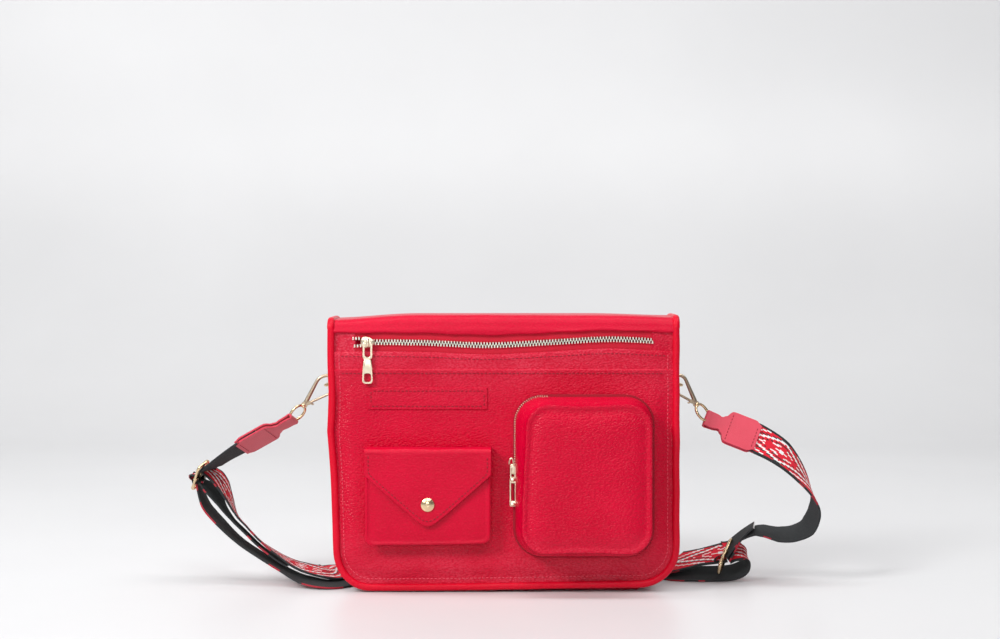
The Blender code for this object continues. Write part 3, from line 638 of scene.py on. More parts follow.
UPPER_RUN = [
    ((-0.2775, 0.0230, 0.1035), (0.10, 0.95, 0.10)),
    ((-0.2700, 0.0215, 0.0985), (0.20, 0.96, 0.12)),
    ((-0.2636, 0.0200, 0.0905), (0.18, 0.97, 0.08)),
    ((-0.2565, 0.0185, 0.0761), (0.02, 1.00, -0.03)),
    ((-0.2500, 0.0170, 0.0622), (-0.11, 0.98, -0.13)),
    ((-0.2397, 0.0140, 0.0513), (-0.12, 0.98, -0.15)),
    ((-0.2256, 0.0120, 0.0374), (-0.11, 0.98, -0.15)),
    ((-0.2058, 0.0100, 0.0240), (-0.04, 0.99, -0.08)),
    ((-0.1867, 0.0080, 0.0150), (0.02, 0.99, 0.06)),
    ((-0.1630, 0.0120, 0.0094), (-0.20, 0.95, 0.20)),
    ((-0.1510, 0.0400, 0.0085), (-0.80, 0.60, 0.05)),
    ((-0.1130, 0.0590, 0.0046), (-0.20, 0.98, 0.00)),
    ((0.0000, 0.0620, 0.0046), (0.00, 1.00, 0.00)),
    ((0.1130, 0.0600, 0.0046), (0.20, 0.98, 0.00)),
    ((0.1480, 0.0500, 0.0095), (0.62, 0.76, 0.14)),
    ((0.1661, 0.0330, 0.0155), (0.20, 0.89, 0.41)),
    ((0.1849, 0.0280, 0.0208), (0.10, 0.94, 0.32)),
    ((0.2035, 0.0252, 0.0248), (0.28, 0.85, 0.45)),
    ((0.2085, 0.0246, 0.0262), (0.36, 0.76, 0.53)),
]
LEFT_SLIDE = ((-0.2830, 0.0120, 0.1002), (-0.29, 0.70, -0.65), (0.56, 0.67, 0.475))
RIGHT_SLIDE = ((0.2073, 0.0170, 0.0236), (0.39, 0.72, 0.57), (-0.027, 0.634, -0.774))
SLIDE_LENGTH, SLIDE_WIDTH, SLIDE_WIRE = 0.038, 0.016, 0.0016
BEAD, BEAD_TIP = 0.0024, 0.0002
PATTERN_REPEAT = 0.086
WEFT = 0.0011


def patterned_weave(name, red, white, black):
    """Jacquard face: stepped red and white diamonds, outlined in black, between borders."""
    recipe = Recipe(name)
    u, v = recipe.uv()
    along = u.sum("SNAP", u, 2 * WEFT)
    edge = abs(v.sum("SNAP", v + 0.04, 0.08))
    gap = abs((along / PATTERN_REPEAT).part() - 0.5) * 2.0
    blocks = (along / 0.0155).part() < 0.62
    diamond = edge / 0.72 + gap
    white_part = (abs(diamond - 1.0) < 0.085).most((abs(diamond - 0.52) < 0.06) * blocks)
    white_part = white_part.most(abs(diamond - 1.52) < 0.07).most((diamond < 0.16) * 1.0)
    black_part = (abs(diamond - 1.17) < 0.05).most(abs(diamond - 0.72) < 0.04).most(edge > 0.87)
    colour = recipe.mix(white_part, red, white)
    colour = recipe.mix(black_part, colour, black)
    ribs = (u * (2 * pi / WEFT)).wave() * (v * 60.0).wave()
    fuzz = recipe.speckle(recipe.place(), 1600.0)
    colour = recipe.mix(fuzz * 0.14, colour, black)
    return recipe.done(
        Base_Color=colour, Roughness=0.8 + fuzz * 0.15, Normal=recipe.bump(ribs, 0.5, 0.0004)
    )


def bound_edge(name, red, black):
    """Selvedge of the webbing: black, with the pattern's red threads turning round it."""
    recipe = Recipe(name)
    u, _ = recipe.uv()
    runs = recipe.speckle(u / 0.034, 1.0)
    turns = ((runs * 0.8 + (u / 0.0062).wave() * 0.05) > 0.44) * 0.55
    return recipe.done(Base_Color=recipe.mix(turns, black, red), Roughness=0.85)


def plain_weave(name, dark, light):
    """Plain ribbed face of the webbing."""
    recipe = Recipe(name)
    u, v = recipe.uv()
    ribs = (u * (2 * pi / WEFT)).wave() * 0.6 + (v * 90.0).wave() * 0.4
    fuzz = recipe.speckle(recipe.place(), 1200.0)
    colour = recipe.mix((ribs * 0.25 + fuzz * 0.8).most(0.0).least(1.0), dark, light)
    return recipe.done(
        Base_Color=colour, Roughness=0.86 + fuzz * 0.1, Normal=recipe.bump(ribs, 0.45, 0.0004)
    )


def make_strap(looks):
    """Webbing through two slides, and its short end."""
    face, plain, selvedge = looks["woven_face"], looks["woven_back"], looks["selvedge"]
    weave = [face, plain, selvedge]
    arch_route, lower_route, upper_route = map(smooth_route, (ARCH, LOWER_RUN, UPPER_RUN))
    arch, arch_length = webbing("webbing_front_arch", arch_route, weave, "webbing_arch")
    lower_run, lower_length = webbing("webbing_lower_run", lower_route, weave, "webbing_lower")
    upper_run, upper_length = webbing("webbing_upper_run", upper_route, weave, "webbing_upper")
    turned = [plain, face, selvedge]
    short_end, _ = webbing("webbing_short_end", smooth_route(SHORT_END), turned, "webbing_short")
    left_turn, _ = webbing("webbing_left_turn", smooth_route(LEFT_TURN), turned)
    right_turn, _ = webbing("webbing_right_turn", smooth_route(RIGHT_TURN), turned)
    for side, (near, far, across) in (("left", LEFT_END), ("right", RIGHT_END)):
        make_strap_end(side, Vector(near), Vector(far), Vector(across), looks)
    for side, (place, along, across) in (("left", LEFT_SLIDE), ("right", RIGHT_SLIDE)):
        make_slide(
            side, Vector(place), Vector(along).normalized(), Vector(across), looks
        )
    eyes = {side: make_eye(side, sign, looks) for side, sign in SIDES}


LAYER_THICK = 0.0016
LAYER_OFFSET = 0.0016
END_LENGTH = 0.0535
END_PROFILE = (
    (0.0, 0.0170), (0.006, 0.0165), (0.011, 0.0140), (0.0155, 0.0200), (0.0195, 0.0325),
    (0.023, 0.0340), (0.046, 0.0340), (END_LENGTH, 0.0270),
)


def profile_at(profile, s):
    for (a, low), (b, high) in zip(profile, profile[1:]):
        if s <= b:
            return low + (high - low) * ease(a, b, s)
    return profile[-1][1]


def make_strap_end(side, near, far, across, looks):
    """Bottle-shaped leather, folded through the eye, the webbing sewn between its layers."""
    along = (far - near).normalized()
    length = (far - near).length
    across = (across - along * across.dot(along)).normalized()
    normal = along.cross(across)
    eye = near - along * 0.0024
    rows = []
    for s in spread(length, 0.0, 28):
        rows.append((near + along * s - normal * LAYER_OFFSET, s, -normal))
    for t in spread(-90, 90, 11)[1:-1]:
        angle = radians(t)
        out = normal * sin(angle) - along * cos(angle)
        rows.append((eye + out * 0.0023, 0.0, out))
    for s in spread(0.0, length, 28):
        rows.append((near + along * s + normal * LAYER_OFFSET, s, normal))
    rings = []
    for place, s, out in rows:
        half = profile_at(END_PROFILE, s / length * END_LENGTH) / 2
        thin = LAYER_THICK / 2
        section = [
            (-half + 0.0004, -thin), (half - 0.0004, -thin), (half, 0.0), (half - 0.0004, thin),
            (0.0, thin * 1.15), (-half + 0.0004, thin), (-half, 0.0),
        ]
        rings.append([place + across * a + out * h for a, h in section])
    leather = loft(
        f"strap_end_leather_{side}", rings, looks["strap_leather"], "root", f"strap_end_{side}"
    )
    made = bmesh.new()
    for sign in (1, -1):
        lift = normal * sign * (LAYER_OFFSET + LAYER_THICK / 2)
        for s, inset in ((0.0215, 0.0015), (0.0500, 0.0030)):
            half = profile_at(END_PROFILE, s) / 2 - inset
            ends = [
                near + along * s * length / END_LENGTH + across * k * half + lift
                for k in (-1, 1)
            ]
            add_stitches(made, ends, normal * sign)
    return [leather, put(f"strap_end_thread_{side}", made, looks["dark_thread"], "root")]


def oval(width, height, corner, steps=5):
    """Rounded rectangle about the origin, as points in a plane."""
    corners = [
        Vector((x * width / 2, z * height / 2, 0))
        for x, z in ((-1, -1), (1, -1), (1, 1), (-1, 1))
    ]
    return rounded_line(corners, corner, steps, closed=True)


def make_slide(side, place, along, across, looks):
    """Cast strap slide: rounded frame, middle bar, and a bead where the bar meets the eye."""
    across = (across - along * across.dot(along)).normalized()
    made = bmesh.new()
    outline = [
        place + along * p.x + across * p.y
        for p in oval(SLIDE_LENGTH - 0.0026, SLIDE_WIDTH - 0.0026, 0.004)
    ]
    add_loft(made, tube_rings(outline, SLIDE_WIRE, 10, True), closed=True)
    reach = SLIDE_LENGTH / 2 - SLIDE_WIRE
    bar = [place + along * s for s in spread(-reach, reach, 9)]
    add_loft(made, tube_rings(bar, SLIDE_WIRE, 10))
    for sign in (-1, 1):
        centre = place + across * sign * (SLIDE_WIDTH / 2 - SLIDE_WIRE)
        turns = spread(0, pi, 9)
        line = [centre - along * BEAD * cos(t) for t in turns]
        add_loft(made, tube_rings(line, [max(BEAD * sin(t), BEAD_TIP) for t in turns], 12))
    return put(f"strap_slide_frame_{side}", made, looks["gold"], "root", f"strap_slide_{side}")


HOOKS = {
    "left": ((0.1845, 0.1665), (0.1712, 0.1918), (0.1612, 0.1950), (0.1612, 0.1770)),
    "right": ((0.1785, 0.1675), (0.1678, 0.1925), (0.1612, 0.1950), (0.1612, 0.1772)),
}
EYE_HANG = {
    "left": ((-0.66, 0.0, -0.75), (0.41, 0.76, -0.51)),
    "right": ((0.60, 0.0, -0.80), (0.46, 0.76, 0.46)),
}
EYE_HALF = 0.0080
EYE_WIRE = 0.0013


def make_eye(side, sign, looks):
    """Swivel eye under the hook: an oval loop with a collar round the hook's stem."""
    base_x, base_z = HOOKS[side][0]
    base = Vector((sign * base_x, 0.0, base_z))
    down, across = (Vector(way).normalized() for way in EYE_HANG[side])
    across = (across - down * across.dot(down)).normalized()
    top = base + down * 0.0016
    centre = top + down * EYE_HALF
    made = bmesh.new()
    line = []
    for t in full_turn(36):
        out = copysign(abs(cos(t)) ** 0.8, cos(t))
        line.append(centre + across * 0.0072 * out + down * EYE_HALF * sin(t))
    add_loft(made, tube_rings(line, EYE_WIRE, 10, True), closed=True)
    collar = [
        (0.0012, 0.0016), (0.0004, 0.0026), (-0.0010, 0.0028), (-0.0022, 0.0024), (-0.0030, 0.0017)
    ]
    add_loft(made, tube_rings([top + down * s for s, _ in collar], [r for _, r in collar], 14))
    return put(f"swivel_eye_loop_{side}", made, looks["gold"], "root", f"swivel_eye_{side}")


ROLL_RADIUS = 0.0095
ROLL_TOP = ROLL_HIGH[2]
ROLL_EDGE = 0.2385
LIP_FOLD = 0.0018
MIDDLE_DEPTH = -0.003
BINDING_HALF = 0.0033
BINDING_PROUD = 0.0033
SEAM_REACH = 0.003
STITCH_INSET = 0.0058
SEAM_HALF = HALF_PANEL + SEAM_REACH
SEAM_CORNER = CORNER - 0.005
BACK_EDGE = 0.004
BINDING_LINE = HALF_FLAP - BINDING_HALF
FLAP_FOOT = FLAP_LOW[2]
PANEL_FOOT = PANEL_LOW[2]
SEAM_FOOT = PANEL_FOOT - SEAM_REACH
LAP_SEAM = PANEL_HIGH[2]
WINDOW_TOP = LIP_LOW[2]
WINDOW_FOOT = FACING_HIGH[2]
ZIP_HEIGHT = (WINDOW_TOP + WINDOW_FOOT) / 2
BACK_BEND = ("root", "flap_top", (0.0, 0.0, 0.230), (0.0, 0.0, 0.2495))
FRONT_BEND = ("flap_top", "flap_front", (0.0, 0.0, 0.2495), (0.0, 0.0, 0.2335))


def border_distance(x, z, half, foot, corner):
    """How far inside a U-shaped edge a point lies."""
    from_side, from_foot = half - abs(x), z - foot
    if from_side < corner and from_foot < corner:
        return corner - hypot(corner - from_side, corner - from_foot)
    return min(from_side, from_foot)


def lean(x, z):
    """The hanging flap's outline: the left edge draws in at the foot, the right foot lifts."""
    share = (abs(x) / HALF_FLAP) ** 3
    draw = 0.0056 * ease(0.165, 0.05, z) - 0.0014 * bell(z - 0.185, 0.025)
    waver = 0.0004 * sin(z * 70)
    inward = draw + waver if x < 0 else waver
    lift = 0.0030 * ease(-0.10, 0.15, x) * ease(0.12, 0.0, z)
    return x - copysign(inward * share, x), z + lift


def top_drop(x, z):
    """The ends of the roll over the top sit lower than its middle."""
    drop = 0.0042 * ease(0.08, 0.16, -x) + 0.0019 * ease(0.08, 0.16, x)
    return drop * ease(0.233, 0.250, z)


def zip_sway(x):
    """The long zip sags in the middle and rises towards the right."""
    return 0.0027 * (bell(x - 0.098, 0.040) - bell(x + 0.015, 0.045))


BOX_LOW, BOX_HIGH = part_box("box_band")


def away_from_box_pocket(x, z):
    """0 under the box pocket, 1 well clear of it."""
    dx = max(BOX_LOW[0] - x, x - BOX_HIGH[0], 0.0)
    dz = max(BOX_LOW[2] - z, z - BOX_HIGH[2], 0.0)
    return ease(0.004, 0.025, hypot(dx, dz))


def flap_face(x, z):
    """Depth of the flap's soft face: a puffed band inside the binding, slow unevenness."""
    inside = border_distance(x, z, SEAM_HALF, SEAM_FOOT, SEAM_CORNER)
    puff = 0.0030 * ease(0.0045, 0.017, inside) - 0.0010 * ease(0.020, 0.055, inside) - 0.0018
    uneven = 0.0012 * lump(x, z, 13, 0.3) + 0.0006 * lump(x, z, 32, 1.7)
    sag = 0.0010 * bell(z - 0.075 - 0.12 * x, 0.022)
    flat = 1.0 - 0.8 * ease(0.172, 0.192, z)
    return FLAP_FACE - (puff + (uneven + sag) * away_from_box_pocket(x, z)) * flat


def on_flap(x, z, proud=0.0):
    """A point on the flap's face where it hangs, a little proud of it."""
    across, up = lean(x, z)
    return Vector((across, flap_face(x, z) - proud, up))


def half_width(z, half, foot, corner):
    rise = z - foot
    if rise >= corner:
        return half
    return half - corner + sqrt(max(corner**2 - (corner - rise) ** 2, 0.0))


def make_flap_panel(looks):
    """Lower panel lapped over the facing, and the facing strip with its folded top edge."""
    grid = []
    for k in spread(0.0, 1.0, 72):
        z = closing(LAP_SEAM + 0.0006, SEAM_FOOT, k, 1.35)
        half = half_width(z, SEAM_HALF, SEAM_FOOT, SEAM_CORNER)
        crest = 0.0011 * bell(z - LAP_SEAM, 0.0035)
        grid.append([on_flap(x, z, crest) for x in spread(-half, half, 90)])
    sheet(
        "flap_panel_leather", grid, LEATHER, looks["leather"], "flap_front", "flap_panel",
        "flap_lining",
    )
    columns = spread(-SEAM_HALF, SEAM_HALF, 110)
    rings = []
    for x in columns:
        top = WINDOW_FOOT + zip_sway(x)
        line = []
        for z in spread(LAP_SEAM - 0.003, top - LIP_FOLD, 9):
            roll = 0.0005 * bell(z - top + 0.004, 0.003)
            line.append(on_flap(x, z, roll))
        face = line[-1].y
        for t in spread(0.0, pi, 7)[1:]:
            height = top - LIP_FOLD + LIP_FOLD * sin(t)
            line.append(Vector((line[-1].x, face + 0.0015 - 0.0015 * cos(t), height)))
        line.append(Vector((line[-1].x, face + 0.0030, LAP_SEAM - 0.003)))
        rings.append(line)
    loft("zip_facing_leather", rings, looks["leather"], "flap_front", "zip_facing")


def roll_arc(depth_of_centre, turn_from, turn_to, drawn_in):
    """Quarter turn of the roll over the top, as (depth, height)."""
    found = []
    for t in spread(turn_from, turn_to, 9):
        y, z = compass(t)
        radius = ROLL_RADIUS - drawn_in
        found.append((depth_of_centre + radius * y, ROLL_TOP - ROLL_RADIUS + radius * z))
    return found


def make_roll_front(looks):
    """Leather from the top's middle over the front, turned under above the zip."""
    centre = FLAP_FACE + ROLL_RADIUS
    rings = []
    for x in spread(-SEAM_HALF, SEAM_HALF, 120):
        edge = WINDOW_TOP + zip_sway(x) * 0.8 + 0.0003 * sin(x * 160)
        swell = 0.0006 * lump(x, 0.24, 24, 4.1)
        outer = [(MIDDLE_DEPTH, ROLL_TOP), ((MIDDLE_DEPTH + centre) / 2, ROLL_TOP + swell)]
        outer += roll_arc(centre, 90, 180, -swell)
        outer += [(FLAP_FACE - 0.0010 - swell, 0.2392), (FLAP_FACE - 0.0014 - swell, 0.2375)]
        fold = [(FLAP_FACE + 0.0006 + 0.0020 * y, edge + LIP_FOLD + LIP_FOLD * z)
                for y, z in map(compass, spread(180, 360, 9))]
        inner = [(FLAP_FACE + 0.0026, ROLL_EDGE)]
        inner += roll_arc(centre, 180, 90, LEATHER) + [(MIDDLE_DEPTH, ROLL_TOP - LEATHER)]
        rings.append(
            [Vector((lean(x, z)[0], y, z - top_drop(x, z))) for y, z in outer + fold + inner]
        )
    loft("roll_front_leather", rings, looks["soft_leather"], FRONT_BEND, "zip_lip", "flap_roll")


def back_half(z):
    """Half the width of the back panel, which widens into the roll at the top."""
    straight = half_width(z, HALF_POUCH - BACK_EDGE, BACK_EDGE, CORNER - BACK_EDGE)
    return straight + (SEAM_HALF - straight) * ease(0.214, 0.242, z)


def back_face(x, z):
    """Depth of the soft back, a little hollow and uneven."""
    inside = border_distance(x, z, HALF_POUCH, 0.0, CORNER)
    puff = 0.0016 * bell(inside - 0.016, 0.010) - 0.0012 * bell(inside, 0.005)
    return BACK_FACE + (puff + 0.0008 * lump(x, z, 12, 7.7)) * ease(0.245, 0.225, z)


def make_back(looks):
    """Back panel and the rear half of the roll, one piece of leather."""
    centre = BACK_FACE - ROLL_RADIUS
    path = [(MIDDLE_DEPTH, ROLL_TOP), ((MIDDLE_DEPTH + centre) / 2, ROLL_TOP)]
    path += roll_arc(centre, 90, 0, 0.0)
    grid = []
    for y, z in path:
        half = SEAM_HALF
        grid.append(
            [Vector((lean(x, z)[0], y, z - top_drop(x, z))) for x in spread(half, -half, 60)]
        )
    for k in spread(0.02, 1.0, 56):
        z = closing(ROLL_TOP - ROLL_RADIUS, BACK_EDGE, k)
        half = back_half(z)
        grid.append([Vector((x, back_face(x, z), z)) for x in spread(half, -half, 60)])
    sheet("back_leather", grid, LEATHER, looks["soft_leather"], BACK_BEND, "back_panel")


def u_path(half, foot, top, corner, count):
    """U-shaped edge from top left to top right: places and outward directions."""
    def bend(centre, start):
        ways = [Vector((x, 0, z)) for x, z in map(compass, spread(start, start + 90, 15)[1:])]
        return [(Vector((centre, 0, foot + corner)) + way * corner, way) for way in ways]

    line = [(Vector((-half, 0, z)), Vector((-1, 0, 0))) for z in spread(top, foot + corner, count)]
    line += bend(corner - half, 180)
    line += [
        (Vector((x, 0, foot)), Vector((0, 0, -1)))
        for x in spread(corner - half, half - corner, count)[1:]
    ]
    line += bend(half - corner, 270)
    line += [
        (Vector((half, 0, z)), Vector((1, 0, 0)))
        for z in spread(foot + corner, top, count)[1:]
    ]
    return line


def binding_rings(path, wide, proud):
    """Rounded binding folded over an edge; path holds places and outward directions."""
    rings = []
    count = len(path)
    for i, (place, out) in enumerate(path):
        along = (path[min(i + 1, count - 1)][0] - path[max(i - 1, 0)][0]).normalized()
        out = (out - along * out.dot(along)).normalized()
        face = along.cross(out)
        swell = 1.0 + 0.06 * noise.noise(place * 45)
        ring = []
        for t in spread(0, 2 * pi, 19)[:-1]:
            a, b = cos(t), sin(t)
            a = copysign(abs(a) ** 0.85, a)
            b = copysign(abs(b) ** 0.75, b)
            ring.append(place + out * a * wide * swell + face * b * proud * swell)
        rings.append(ring)
    return rings


def make_bindings(looks):
    """Bindings: round the flap and over the roll's front, round the back and over its rear."""
    depth = (FLAP_LOW[1] + FLAP_HIGH[1]) / 2
    centre = FLAP_FACE + ROLL_RADIUS
    height = ROLL_TOP - LEATHER / 2
    over = [(MIDDLE_DEPTH, height), (-0.015, height)] + roll_arc(centre, 90, 180, LEATHER / 2)

    def across_top(line, sign, half):
        return [
            (Vector((sign * half, y, z - top_drop(sign * half, z))), Vector((sign, 0, 0)))
            for y, z in line
        ]

    sides = []
    for place, out in u_path(
        BINDING_LINE, FLAP_FOOT + BINDING_HALF, ROLL_EDGE, CORNER - BINDING_HALF, 40
    ):
        x, z = lean(place.x, place.z)
        sides.append((Vector((x, depth + 0.0005 * lump(x, z, 30, 9.0), z)), out))
    path = across_top(over, -1, BINDING_LINE) + sides + across_top(over[::-1], 1, BINDING_LINE)
    loft(
        "flap_edge_binding",
        binding_rings(path, BINDING_HALF, BINDING_PROUD),
        looks["binding"],
        FRONT_BEND,
        "flap_binding",
        "flap_roll_binding_left",
        "flap_roll_binding_right",
    )
    rear = BACK_FACE - ROLL_RADIUS
    behind = [(MIDDLE_DEPTH, height), (0.010, height)] + roll_arc(rear, 90, 0, LEATHER / 2)
    depth = BACK_FACE - LEATHER
    sides = []
    for place, out in u_path(HALF_POUCH - BACK_EDGE, 0.0044, 0.238, CORNER - BACK_EDGE, 40):
        widen = (BINDING_LINE - HALF_POUCH + BACK_EDGE) * ease(0.212, 0.238, place.z)
        sides.append((place + Vector((copysign(widen, place.x), depth, 0)), out))
    path = across_top(behind, -1, BINDING_LINE) + sides + across_top(behind[::-1], 1, BINDING_LINE)
    loft(
        "back_edge_binding", binding_rings(path, BINDING_HALF, 0.0030), looks["binding"], BACK_BEND,
        "back_binding",
    )


TOOTH_PITCH = 0.0027
BLOCK_TAPER = 0.75
SLIDER_MIDDLE = sum(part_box("zip_slider"), Vector()) / 2


def zip_parting(x):
    """How far each row of teeth has come away behind the slider."""
    return 0.0022 * ease(SLIDER_MIDDLE.x - 0.001, SLIDER_MIDDLE.x - 0.008, x)


def add_block(made, centre, size):
    """Small block whose front, towards the viewer of the bag's face, is narrower than its back."""
    corners = []
    for depth, share in ((1, 1.0), (-0.4, 1.0), (-1, BLOCK_TAPER)):
        ring = []
        for x, z in ((-1, -1), (1, -1), (1, 1), (-1, 1)):
            ring.append(
                centre + Vector((x * size[0] * share, depth * size[1], z * size[2] * share)) / 2
            )
        corners.append(ring)
    add_loft(made, corners)


def make_main_zip(looks):
    """Tapes and interlocking metal teeth of the long zip, sewn behind the lip and the facing."""
    low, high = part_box("zip_upper")
    depth = (low[1] + high[1]) / 2
    for name, sign in (("upper", 1), ("lower", -1)):
        grid = []
        for reach in spread(0.0100, 0.0021, 5)[:: sign]:
            line = []
            for x in spread(low[0], high[0], 80):
                open_by = zip_parting(x) * ease(0.0100, 0.0021, reach)
                height = ZIP_HEIGHT + zip_sway(x) + sign * (reach + open_by)
                line.append(Vector((x, depth + 0.0006, height)))
            grid.append(line)
        sheet(f"zip_tape_{name}", grid, 0.0008, looks["zip_tape"], "flap_front", f"zip_{name}")
    made = bmesh.new()
    count = int((high[0] - low[0]) / TOOTH_PITCH)
    for k in range(count):
        for sign, shift in ((1, 0.25), (-1, 0.75)):
            x = low[0] + (k + shift) * TOOTH_PITCH
            centre = Vector((x, depth, ZIP_HEIGHT + zip_sway(x) + sign * (0.0012 + zip_parting(x))))
            add_block(made, centre, (0.0014, 0.0030, 0.0032))
    put("zip_teeth", made, looks["tooth_metal"], "flap_front")
    for side, sign in SIDES:
        near, far = sorted((sign * (high[0] - 0.002), sign * (SEAM_HALF)))
        grid = []
        for rise in spread(0.0095, -0.0095, 8):
            line = []
            for x in spread(near, far, 10):
                place = on_flap(x, ZIP_HEIGHT, 0.0)
                line.append(Vector((place.x, place.y + 0.0012, ZIP_HEIGHT + zip_sway(x) + rise)))
            grid.append(line)
        sheet(
            f"zip_end_patch_{side}", grid, LEATHER, looks["leather"], "flap_front",
            f"zip_end_{side}",
        )


def add_frame(made, outer, inner, out, thick):
    """Flat metal plate with a hole, rounded over on both faces; the outlines match."""
    rings = []
    for a, b in zip(outer, inner):
        middle = (a + b) / 2
        in_a, in_b = a.lerp(middle, 0.25), b.lerp(middle, 0.25)
        half = out * thick / 2
        rings.append(
            [
                a + half * 0.5, in_a + half, in_b + half, b + half * 0.5, b - half * 0.5,
                in_b - half, in_a - half, a - half * 0.5,
            ]
        )
    add_loft(made, rings, closed=True)


def plate_with_hole(
    name, centre, size, taper, corner, hole, hole_size, hole_corner, thick, looks, body, node
):
    """Upright plate facing the front, narrower at its top, with one rounded hole."""
    outer = [
        centre + Vector((p.x * (1 - taper * (0.5 + p.y / size[1])), 0, p.y))
        for p in oval(*size, corner)
    ]
    inner = [hole + Vector((p.x, 0, p.y)) for p in oval(*hole_size, hole_corner)]
    made = bmesh.new()
    add_frame(made, outer, inner, Vector((0, 1, 0)), thick)
    return put(name, made, looks, body, node)


PULL_FORWARD = 0.0006
TAB_SHORTER = 0.0052


def make_zip_slider(looks):
    """Cast slider with a bridge, a link with a window, and a tab with a hole at its foot."""
    low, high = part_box("zip_slider")
    middle = SLIDER_MIDDLE
    made = bmesh.new()
    rings = []
    for depth, share in ((0.0, 0.86), (0.0005, 1.0), (0.0014, 1.0), (0.0023, 0.84), (0.0028, 0.5)):
        ring = []
        for p in oval(0.0128, high[2] - low[2], 0.0046, 6):
            pinch = 1.0 - 0.45 * ease(0.0, 0.0055, p.x)
            height = middle.z + p.y * share * pinch
            ring.append(Vector((middle.x + p.x * share, FLAP_FACE - 0.0006 - depth, height)))
        rings.append(ring)
    add_loft(made, rings)
    bridge = [Vector((middle.x, low[1] + 0.0030 - 0.0022 * sin(t), middle.z - 0.0036 * cos(t)))
              for t in spread(0, pi, 11)]
    add_loft(made, tube_rings(bridge, 0.0014, 8))
    put("zip_slider_casting", made, looks["pale_gold"], "zip_slider", "zip_slider")
    low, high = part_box("pull_link")
    middle = (low + high) / 2 - Vector((0, PULL_FORWARD, 0))
    plate_with_hole(
        "pull_link_loop", middle, (0.0090, high[2] - low[2]), 0.0, 0.0030, middle, (0.0048, 0.0112),
        0.0018, 0.0016, looks["pale_gold"], "pull_link", "pull_link",
    )
    low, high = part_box("pull_tab")
    middle = (low + high) / 2 + Vector((0, -PULL_FORWARD, 0.0008))
    size = (0.0104, high[2] - low[2] - TAB_SHORTER)
    plate_with_hole(
        "pull_tab_plate", middle, size, 0.30, 0.0042, middle - Vector((0, 0, 0.0056)),
        (0.0062, 0.0078), 0.0026, 0.0019, looks["pale_gold"], "pull_tab", "pull_tab",
    )


PATCH_LOW, PATCH_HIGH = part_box("sewn_patch")
ENVELOPE_LOW, ENVELOPE_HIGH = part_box("envelope_front")
LID_LOW, LID_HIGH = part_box("envelope_flap")
COVER_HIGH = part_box("envelope_cover")[1]


def make_patch(looks):
    """Rectangle of the same leather sewn flat on the panel."""
    grid = []
    for z in spread(PATCH_HIGH[2], PATCH_LOW[2], 12):
        grid.append([on_flap(x, z, 0.0013) for x in spread(PATCH_LOW[0], PATCH_HIGH[0], 44)])
    sheet("sewn_patch_leather", grid, 0.0016, looks["leather"], "flap_front", "sewn_patch")
    inset = 0.0026
    left, right = PATCH_LOW[0] + inset, PATCH_HIGH[0] - inset
    foot, top = PATCH_LOW[2] + inset, PATCH_HIGH[2] - inset
    places = ((left, foot), (right, foot), (right, top), (left, top))
    corners = [on_flap(x, z, 0.0015) for x, z in places]
    lines = []
    for a, b in zip(corners, corners[1:] + corners[:1]):
        line = [a.lerp(b, t) for t in spread(0, 1, 24)]
        lines.append([Vector((p.x, flap_face(p.x, p.z) - 0.0015, p.z)) for p in line])
    stitching("sewn_patch_thread", lines, (0, -1, 0), looks["dark_thread"], "flap_front")


def panel_outline(left, foot, right, top, corner, straight=10, turn=6):
    """Rounded rectangle as (x, z) from the right of the foot, the same count for any size."""
    found = []
    for cx, cz, start in ((right - corner, foot + corner, 270), (right - corner, top - corner, 0),
                          (left + corner, top - corner, 90), (left + corner, foot + corner, 180)):
        for t in spread(start, start + 90, turn):
            x, z = compass(t)
            found.append((cx + corner * x, cz + corner * z))
    full = []
    for i, (a, b) in enumerate(zip(found, found[1:] + found[:1])):
        full.append(a)
        if (i + 1) % turn == 0:
            dx, dz = b[0] - a[0], b[1] - a[1]
            full += [
                (a[0] + dx * k / straight, a[1] + dz * k / straight)
                for k in range(1, straight)
            ]
    return full


def make_envelope_pocket(looks):
    """Small pocket: pleated gusset, puffed front with a rolled seam, V-shaped lid with a snap."""
    left, right = ENVELOPE_LOW[0], ENVELOPE_HIGH[0]
    foot, top = ENVELOPE_LOW[2], ENVELOPE_HIGH[2]
    rings = []
    steps = (
        (-0.0005, FLAP_FACE + 0.0012, 0.0), (0.0006, -0.0400, 0.0), (0.0026, -0.0432, 0.0),
        (0.0010, -0.0462, 0.0), (0.0004, -0.0482, 0.0), (-0.0004, -0.0495, 0.0),
        (-0.0002, -0.0507, 0.0), (0.0012, -0.0513, 0.0), (0.0026, -0.0505, 0.0),
        (0.0050, -0.0508, 0.3), (0.0120, -0.0512, 0.6), (0.0220, -0.0513, 0.5),
        (0.0340, -0.0513, 0.2), (0.0395, -0.0513, 0.2),
    )
    for inset, depth, soft in steps:
        ring = []
        for x, z in panel_outline(
            left + inset, foot + inset, right - inset, top - inset, max(0.007 - inset * 0.5, 0.003)
        ):
            wave = 0.0024 * sin((x - left) * 42 + 0.6) + 0.0010
            z += (wave + 0.0058 * ease(-0.10, -0.02, x)) * ease(0.075, 0.040, z)
            ring.append(Vector((x, depth - soft * 0.0007 * lump(x, z, 40, 5.0), z)))
        rings.append(ring)
    loft(
        "envelope_body", rings, looks["soft_leather"], "flap_front", "envelope_gusset",
        "envelope_front",
    )
    make_envelope_lid(looks)


LID_BEND = 0.0042
LID_PROUD = 0.0006
LID_SHOULDER = 0.1075


